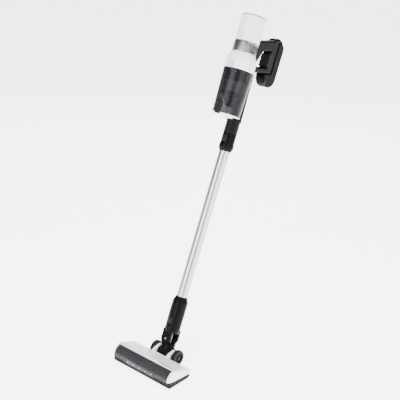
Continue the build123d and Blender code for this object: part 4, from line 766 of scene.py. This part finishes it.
# A thin dark line of painted shade, standing for the gap round the button.
made("button_gap_shade", *printed("shoulder_cover", arch, BACK, 1.1 * MM), mark_and_shade_dark, "handheld", "cyclone_grey")
button_ribs = [printed("bin_release", [
    spot(x * MM, BODY_BACK - 0.1, button_low + k * MM) for x in (-3.5, -1.2, 1.2, 3.5)], BACK, 0.5 * MM)
    for k in (4, 6, 8)]
made("button_ribs", *merged(button_ribs), mark_and_shade_grey, "bin_release", "button_grey")
print("button gap points:", len(arch))

# %% [markdown]
# The dust bin is a clear cup with a dark lip at its top, a fill line, and a cyclone whose fins
# show through. A bump pattern would have no outline behind clear plastic, so the fins are thin
# plates set round the shroud at equal angles.

# %% Inside and outside the dust bin
bin_low, bin_high = extent("bin_shell", RISE)
cup_radius = end_radius("bin_shell", BODY_BACK, True)
shroud_low, shroud_high = extent("mesh_shroud", RISE)
shroud_radius = end_radius("mesh_shroud", BODY_BACK, True)
made("bin_lip", *lathe(box_ring(
    bin_high - 3 * MM, bin_high - 0.4 * MM, cup_radius - 0.6 * MM, cup_radius + 0.12 * MM),
    BODY, RISE), cyclone_dark, "dust_bin", "cyclone_grey")
fins = []
for k in range(36):
    turn = math.radians(10 * k)
    outward = ACROSS * math.cos(turn) + BACK * math.sin(turn)
    along = RISE * (shroud_high - shroud_low) * 0.46
    middle = BODY + outward * (shroud_radius + 0.5 * MM) + RISE * (shroud_low + shroud_high) / 2
    fins.append(bar(middle, along, outward.cross(RISE) * 0.5 * MM, outward * 0.6 * MM))
made("shroud_fins", *merged(fins), shroud_metal, "dust_bin", "mesh_steel")
bands = [
    lathe(box_ring(s - 1.1 * MM, s + 1.1 * MM, shroud_radius - 0.8 * MM, shroud_radius + 1.6 * MM),
          BODY, RISE)
    for s in (shroud_low + 1.1 * MM, shroud_high - 1.1 * MM)
]
made("shroud_bands", *merged(bands), cyclone_dark, "dust_bin", "cyclone_grey")
fill_height = bin_low + (bin_high - bin_low) * 0.36
fill_middle = BODY + RISE * fill_height
fill_line = []
for k in range(15):
    turn = math.radians(14 + 3 * k)
    outward = ACROSS * math.sin(turn) - BACK * math.cos(turn)
    fill_line.append(fill_middle + outward * 0.1)
skin = [[surface("bin_shell", point + RISE * k * 0.4 * MM, (fill_middle - point).normalized())
         for k in (-1, 1)] for point in fill_line]
made("fill_line", *strip(skin), mark_and_shade_grey, "dust_bin", "button_grey")
print("bin fins:", len(fins))

# %% [markdown]
# The latch at the foot of the bin has ribs for a thumb. They lie across it, so a push downwards
# grips. They stand proud as small blocks, because a bump would vanish when seen from the side.

# %% Ribs on the lid's latch
latch_high = extent("lid_latch", RISE)[1]
ribs = []
for k in range(5):
    height = latch_high - (7 + 2.6 * k) * MM
    middle = surface("lid_latch", spot(0, BODY_BACK - 0.1, height), BACK, 0)
    ribs.append(bar(middle, ACROSS * 4.6 * MM, RISE * 0.55 * MM, FRONT * 0.45 * MM))
made("latch_ribs", *merged(ribs), control_grey_and_highlight, "lid_latch", "socket_grey")
print("latch ribs:", len(ribs))

# %% [markdown]
# The handle is two mouldings that meet along its middle, and the shade in that seam is painted as a
# fine dark line round its outer edge. The battery has a paler line of painted highlight just inside
# its own edge, level lamps and grip ribs. The lines are thin skins like the marks above, and the
# lamps and ribs are small solids of their own.

# %% Handle and battery details
handle_centre = spot(0, 100 * MM, 983 * MM)
seam_shade_path = [handle_centre + (BACK * math.cos(turn) + RISE * math.sin(turn)) * 0.06
        for turn in (math.radians(12 + 6 * k) for k in range(15))]
seam_shade_pairs = []
for point in seam_shade_path:
    inward = (handle_centre - point).normalized()
    found = surface("handle_right", point + ACROSS * 0.4 * MM, inward)
    seam_shade_pairs.append([found + ACROSS * (x - 0.4 * MM) for x in (-0.3 * MM, 0.3 * MM)])
# A fine dark line of painted shade along the seam between the handle's halves.
made("handle_seam_shade", *strip(seam_shade_pairs), mark_and_shade_dark, "handheld", "dark_plastic")
battery_edge = max(v.co.x for v in frame["nodes"]["battery_case"].data.vertices)
EDGE_RADIUS = 25.5 * MM
loop_low = spot(0, 100 * MM, 889 * MM)
edge_highlight_path = [loop_low + BACK * EDGE_RADIUS + RISE * k * MM for k in range(84, 0, -12)]
edge_highlight_path += around(loop_low, BACK, -RISE, EDGE_RADIUS, 17, 0, 110)
# A paler line of painted highlight just inside the battery's edge, on each side.
for side, name in ((1, "right"), (-1, "left")):
    places = [point + ACROSS * side * 0.1 for point in edge_highlight_path]
    line = printed("battery_case", places, ACROSS * -side, 0.7 * MM, 0.1 * MM)
    made("battery_edge_highlight_" + name, *line, control_grey_and_highlight, "battery", "control_black")
level = [lathe([(0.0001, 0.25 * MM), (1.1 * MM, 0.1 * MM), (1.1 * MM, -0.2 * MM), (0.0001, -0.2 * MM)],
               spot(battery_edge, 112 * MM, (930 + 6 * k) * MM), ACROSS, steps=20) for k in range(3)]
made("level_lamps", *merged(level), lens_clear, "battery", "lamp_lens")
grip = []
for side in (-1, 1):
    for k in range(6):
        grip.append(bar(spot(side * (battery_edge + 0.05 * MM), 104 * MM, (874 + 3.2 * k) * MM),
                        BACK * 8 * MM, RISE * 0.7 * MM, ACROSS * side * 0.35 * MM))
made("battery_ribs", *merged(grip), battery_black, "battery", "battery_black")
print("battery ribs:", len(grip))

# %% [markdown]
# A soft lip closes the gap where the wand enters each socket, and a dark line marks the taper of
# the lower one. A Screw modifier could turn them too, but one function already turns every round
# piece here. Their radii are measured on the frame, so they fit whatever wand it holds.

# %% Lips and line at the sockets
wand_radius = max(abs(v.co.x) for v in frame["nodes"]["wand_tube"].data.vertices)
socket_low = extent("wand_socket", RISE)[0]
foot_high = extent("foot_collar", RISE)[1]
foot_wide = max(abs(v.co.x) for v in frame["nodes"]["foot_collar"].data.vertices)
slim = wand_radius + 0.12 * MM
made("socket_lip", *lathe([
    (slim, socket_low - 0.9 * MM), (slim + 1.5 * MM, socket_low - 0.9 * MM),
    (slim + 2.2 * MM, socket_low + 0.1 * MM), (slim, socket_low + 0.1 * MM),
], PIVOT, RISE), seal_rubber, "handheld", "seal_rubber")
made("foot_lip", *lathe([
    (slim, foot_high - 0.1 * MM), (slim + 2.0 * MM, foot_high - 0.1 * MM),
    (slim + 1.4 * MM, foot_high + 0.9 * MM), (slim, foot_high + 0.9 * MM),
], PIVOT, RISE), seal_rubber, "foot", "seal_rubber")
made("foot_line", *lathe(box_ring(
    foot_high - 13.4 * MM, foot_high - 12.9 * MM, foot_wide - 3 * MM, foot_wide + 0.03 * MM),
    PIVOT, RISE), mark_and_shade_dark, "foot", "dark_plastic")
print("lips at", round(socket_low, 3), round(foot_high, 3))

# %% [markdown]
# A dark washer leaves only a small bright screw in the middle of each steering pin, and a domed
# cap covers each wheel's axle. Both are turned sections. A cylinder with its edge rounded by a
# modifier would do as well, but it takes more steps than writing the outline.

# %% Washers and caps
pin_front, pin_back = extent("steering_pins", BACK)
front_washer = [
    (3.0 * MM, pin_front - 0.5 * MM), (6.6 * MM, pin_front - 0.3 * MM),
    (7.2 * MM, pin_front + 1.2 * MM), (3.0 * MM, pin_front + 1.2 * MM),
]
back_washer = [
    (3.0 * MM, pin_back - 1.2 * MM), (7.2 * MM, pin_back - 1.2 * MM),
    (6.6 * MM, pin_back + 0.3 * MM), (3.0 * MM, pin_back + 0.5 * MM),
]
washers = [lathe(outline, PIVOT, BACK, steps=48) for outline in (front_washer, back_washer)]
made("pin_washers", *merged(washers), control_grey_and_highlight, "foot", "socket_grey")
cap_x = max(abs(v.co.x) for v in frame["nodes"]["axle_pins"].data.vertices)
wheel_at = Vector((0, AXLE.y, AXLE.z))
caps = [lathe([(0.0002, cap_x + 0.5 * MM), (4.5 * MM, cap_x + 0.3 * MM), (6.4 * MM, cap_x - 0.6 * MM),
               (6.4 * MM, cap_x - 1.4 * MM), (0.0002, cap_x - 1.4 * MM)], wheel_at, side, steps=48)
        for side in (ACROSS, -ACROSS)]
made("axle_caps", *merged(caps), control_grey_and_highlight, "floor_head", "control_black")
print("washers and caps:", len(washers) + len(caps))

# %% [markdown]
# On the real cleaner the hose between the neck and the fork bends when the head is steered. A thick
# curve could draw it, but a turned section gives ribs and a closed end at once. It replaces the
# frame's plain tube and has a wire-wound rib about every three millimetres. It rides on neither
# body, so here it keeps one shape.

# %% The ribbed hose
hose_low, hose_high = extent("flexible_hose", RISE)
hose_front, hose_back = extent("flexible_hose", BACK)
hose_radius = (hose_back - hose_front) / 2 - 0.05 * MM
hose_foot = spot(0, (hose_front + hose_back) / 2, 0)
STEPS_PER_RIB = 4
profile = []
steps = int((hose_high - hose_low) / (0.75 * MM))
for k in range(steps + 1):
    height = hose_low + (hose_high - hose_low) * k / steps
    dip = 0.55 * MM * (1 - math.cos(2 * math.pi * k / STEPS_PER_RIB))
    profile.append((hose_radius - dip, height))
inside = hose_radius - 2.4 * MM
profile += [(inside, hose_high), (inside, hose_low)]
hose = made("ribbed_hose", *lathe(profile, hose_foot, RISE, steps=56), hose_rubber, None, "hose_grey")
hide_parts("flexible_hose")
spot(0, 0, 15 * MM)
spot(0, 0, -15 * MM)
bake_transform(hose)
print("hose ribs:", steps // STEPS_PER_RIB)

# %% [markdown]
# The rear tyres have a cross tread. Their section is turned like the frame's own, and two steps in
# every six are let in by most of a millimetre, which makes the grooves. Cutting them with Booleans
# would take thirty-two cuts a wheel and leave ragged faces. The hubs get nine spokes.

# %% Tyres with treads, and hub spokes
TYRE_BORE = 16.53 * MM
TREAD_STEPS = 192
STEPS_PER_GROOVE = 6
SPOKES = 9


def tread_wave(step):
    """How far the tread is let in at each step round the tyre."""
    return -0.7 * MM if step % STEPS_PER_GROOVE < 2 else 0.0


for name, side in (("left", -1), ("right", 1)):
    edges = [v.co.x for v in frame["nodes"]["wheel_tyre_" + name].data.vertices]
    low, high = min(edges), max(edges)
    tyre = max(abs(v.co.z - AXLE.z) for v in frame["nodes"]["wheel_tyre_" + name].data.vertices)
    halfway = (low + high) / 2
    section = [
        (TYRE_BORE, low), (tyre - 3.4 * MM, low), (tyre - 1.2 * MM, low + 0.8 * MM),
        (tyre, low + 2.8 * MM, 1), (tyre, halfway - 0.5 * MM, 1),
        (tyre - 0.8 * MM, halfway - 0.3 * MM), (tyre - 0.8 * MM, halfway + 0.3 * MM),
        (tyre, halfway + 0.5 * MM, 1), (tyre, high - 2.8 * MM, 1),
        (tyre - 1.2 * MM, high - 0.8 * MM), (tyre - 3.4 * MM, high), (TYRE_BORE, high),
    ]
    tread = lathe(section, wheel_at, ACROSS, steps=TREAD_STEPS, wave=tread_wave)
    piece = made("tyre_" + name, *tread, tyre_rubber, "wheel_" + name, "wheel_tyre")
    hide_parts("wheel_tyre_" + name)
    face = (high if side > 0 else low) - side * 0.75 * MM
    spokes = []
    for k in range(SPOKES):
        turn = math.radians(360 / SPOKES * k)
        outward = Vector((0, math.cos(turn), math.sin(turn)))
        middle = Vector((face - side * 1.9 * MM, AXLE.y, AXLE.z)) + outward * 10.4 * MM
        half_width = outward.cross(ACROSS) * 0.7 * MM
        spokes.append(bar(middle, outward * 3.6 * MM, half_width, ACROSS * side * 0.7 * MM))
    made("spokes_" + name, *merged(spokes), control_grey_and_highlight, "wheel_" + name, "wheel_hub")
print("tread grooves:", TREAD_STEPS // STEPS_PER_GROOVE)

# %% [markdown]
# The brush carries four twisted rows of tufts, two dark and two pale. Each tuft is a thin tapered
# blade that leans a little at random, and each row follows the same twist along the roller. Hair
# particles would be quicker to place, but they are not a mesh and can't be handed on as one.

# %% Brush tufts
ROWS = 4
TUFTS_PER_ROW = 150
TWIST = 176                  # degrees, from one end of the roller to the other
TUFT_SECTIONS = ((0, 0.42), (0.6, 0.5), (1, 0.2))     # share of the length, half width

random.seed(7)
core_verts = frame["nodes"]["brush_bristles"].data.vertices
row_low = min(v.co.x for v in core_verts)
row_high = max(v.co.x for v in core_verts)
tip = max(math.hypot(v.co.y - BRUSH.y, v.co.z - BRUSH.z) for v in core_verts) - 0.1 * MM
root = min(math.hypot(v.co.y - BRUSH.y, v.co.z - BRUSH.z) for v in core_verts) - 0.2 * MM
tufts = {tuft_dark: [], tuft_pale: []}
for row in range(ROWS):
    for k in range(TUFTS_PER_ROW):
        share = k / (TUFTS_PER_ROW - 1)
        turn = math.radians(90 * row + TWIST * share + random.uniform(-3.5, 3.5))
        lean = random.uniform(-0.06, 0.06)
        outward = Vector((lean, math.cos(turn), math.sin(turn))).normalized()
        x = row_low + (row_high - row_low) * share
        length = (tip - root) * random.uniform(0.9, 1.0)
        foot = Vector((x, BRUSH.y, BRUSH.z)) + outward * root
        wide = outward.cross(ACROSS).normalized()
        ends = [[foot + outward * length * h + ACROSS * a * w * MM + wide * b * w * MM
                 for a, b in CORNERS] for h, w in TUFT_SECTIONS]
        tufts[tuft_pale if row % 2 else tuft_dark].append(loops(ends, False))
dark_rows = made("tufts_dark", *merged(tufts[tuft_dark]), tuft_dark, "brush_roll", "brush_fibre")
made("tufts_pale", *merged(tufts[tuft_pale]), tuft_pale, "brush_roll", "brush_fibre")
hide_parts("brush_bristles")
print("tufts:", ROWS * TUFTS_PER_ROW)

# %% [markdown]
# Five small lamps light the floor ahead through a clear strip. Behind the strip they would be
# dimmed to nothing in a bright studio, so their low domes stand a hair proud of it.

# %% Lamps at the front of the floor head
lens = [v.co for v in frame["nodes"]["led_lens"].data.vertices]
hood = Vector((0, -19 * MM, 22 * MM))
lens_middle = sum((Vector((0, v.y, v.z)) for v in lens), Vector()) / len(lens)
look = (lens_middle - hood).normalized()
lens_half = max(v.x for v in lens)
dome = [(0.0001, 0.08 * MM), (0.9 * MM, 0.02 * MM), (1.3 * MM, -0.2 * MM), (0.0001, -0.3 * MM)]
domes = []
for k in range(5):
    start = Vector((lens_half * 0.42 * (k - 2), 0, 0)) + hood + look * 0.08
    domes.append(lathe(dome, surface("led_lens", start, -look, 0), look, steps=24))
made("front_lamps", *merged(domes), lamp_white, "floor_head", "lamp_lens")
print("front lamps:", len(domes))

# %% [markdown]
# The floor head's deck carries one small plain mark, and its underside has screws and ribs. The
# sole is seldom seen, so simple turned heads with a bar for the slot are enough.

# %% Deck mark, sole screws and ribs
UP = Vector((0, 0, 1))
INWARD = Vector((0, 1, 0))
deck_circle = around(Vector((86 * MM, 30 * MM, 0.1)), ACROSS, INWARD, 3 * MM, 24)
deck_mark = printed("head_cover", deck_circle, -UP, 0.6 * MM, closed=True)
made("deck_mark", *deck_mark, mark_and_shade_grey, "floor_head", "button_grey")
sole = min(v.co.z for v in frame["nodes"]["head_base"].data.vertices)
head = [(1.2 * MM, sole + 0.2 * MM), (1.4 * MM, sole - 0.5 * MM),
        (2.7 * MM, sole - 0.4 * MM), (3.1 * MM, sole + 0.2 * MM)]
screw_places = [(side * x, y) for x, y in ((104, 30), (60, 16), (20, 16)) for side in (-1, 1)]
screws = []
for x, y in screw_places:
    centre = Vector((x * MM, y * MM, 0))
    screws.append(lathe(head, centre, UP, steps=32))
    slot_centre = centre + UP * (sole + 0.1 * MM)
    screws.append(bar(slot_centre, ACROSS * 1.3 * MM, INWARD * 0.3 * MM, UP * 0.2 * MM))
made("sole_screws", *merged(screws), steel, "floor_head", "steel")
ridges = [
    bar(Vector((x * MM, 28 * MM, sole - 0.15 * MM)), INWARD * 6 * MM, ACROSS * 0.7 * MM, UP * 0.25 * MM)
    for x in range(-92, 93, 8) if abs(abs(x) - 45) > 14
]
made("sole_ridges", *merged(ridges), base_black, "floor_head", "dark_plastic")
print("sole screws:", len(screw_places), "ridges:", len(ridges))

# %% [markdown]
# The light is what a product studio uses: two tall soft boxes either side of the camera, one over
# the top and one behind. Every round glossy part repeats the gap between the first two as a thin
# dark stripe. The floor glows a little, so that it comes out white.

# %% Floor and light
def soft_box(name, bearing, rise, distance, width, height, power):
    """A rectangular lamp that faces the middle of the cleaner, placed by two angles in degrees."""
    aim = Vector((0, 0.25, 0.6))
    angle = AZIMUTH + math.radians(bearing)
    rise = math.radians(rise)
    flat = Vector((math.sin(angle), -math.cos(angle), 0))
    direction = flat * math.cos(rise) + Vector((0, 0, math.sin(rise)))
    lamp = bpy.data.objects.new(name, bpy.data.lights.new(name, "AREA"))
    lamp.data.shape = "RECTANGLE"
    lamp.data.size = width
    lamp.data.size_y = height
    lamp.data.energy = power
    facing = direction.to_track_quat("Z", "Y").to_matrix().to_4x4()
    lamp.matrix_world = Matrix.Translation(aim + direction * distance) @ facing
    bpy.context.scene.collection.objects.link(lamp)


soft_box("left_box", -40, 18, 2.6, 2.0, 2.6, 140)
soft_box("right_box", 40, 18, 2.6, 2.0, 2.6, 100)
soft_box("top_box", 0, 88, 3.2, 3.4, 3.4, 170)
soft_box("back_box", 180, 35, 3.2, 3.0, 2.4, 90)

world = bpy.data.worlds.new("studio")
bpy.context.scene.world = world
world.use_nodes = True
world.node_tree.nodes["Background"].inputs["Color"].default_value = (1, 1, 1, 1)
world.node_tree.nodes["Background"].inputs["Strength"].default_value = 0.3

half = 50.0
floor_mesh = bpy.data.meshes.new("floor")
floor_mesh.from_pydata(
    [(-half, -half, 0), (half, -half, 0), (half, half, 0), (-half, half, 0)], [], [(0, 1, 2, 3)])
floor = bpy.data.objects.new("floor", floor_mesh)
bpy.context.scene.collection.objects.link(floor)
floor_paint = Finish("floor_paint", Specular_IOR_Level=0.0, Emission_Strength=4.2)
clouds = floor_paint.noise(3, 3)
floor_paint.give(
    Base_Color=floor_paint.mix(clouds, (0.93, 0.93, 0.93, 1), (0.95, 0.95, 0.95, 1)),
    Emission_Color=(1, 1, 1, 1),
    Roughness=0.9,
)
floor_mesh.materials.append(floor_paint.material)
floor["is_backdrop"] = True

# %% Sizes of the finished scene
low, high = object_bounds()
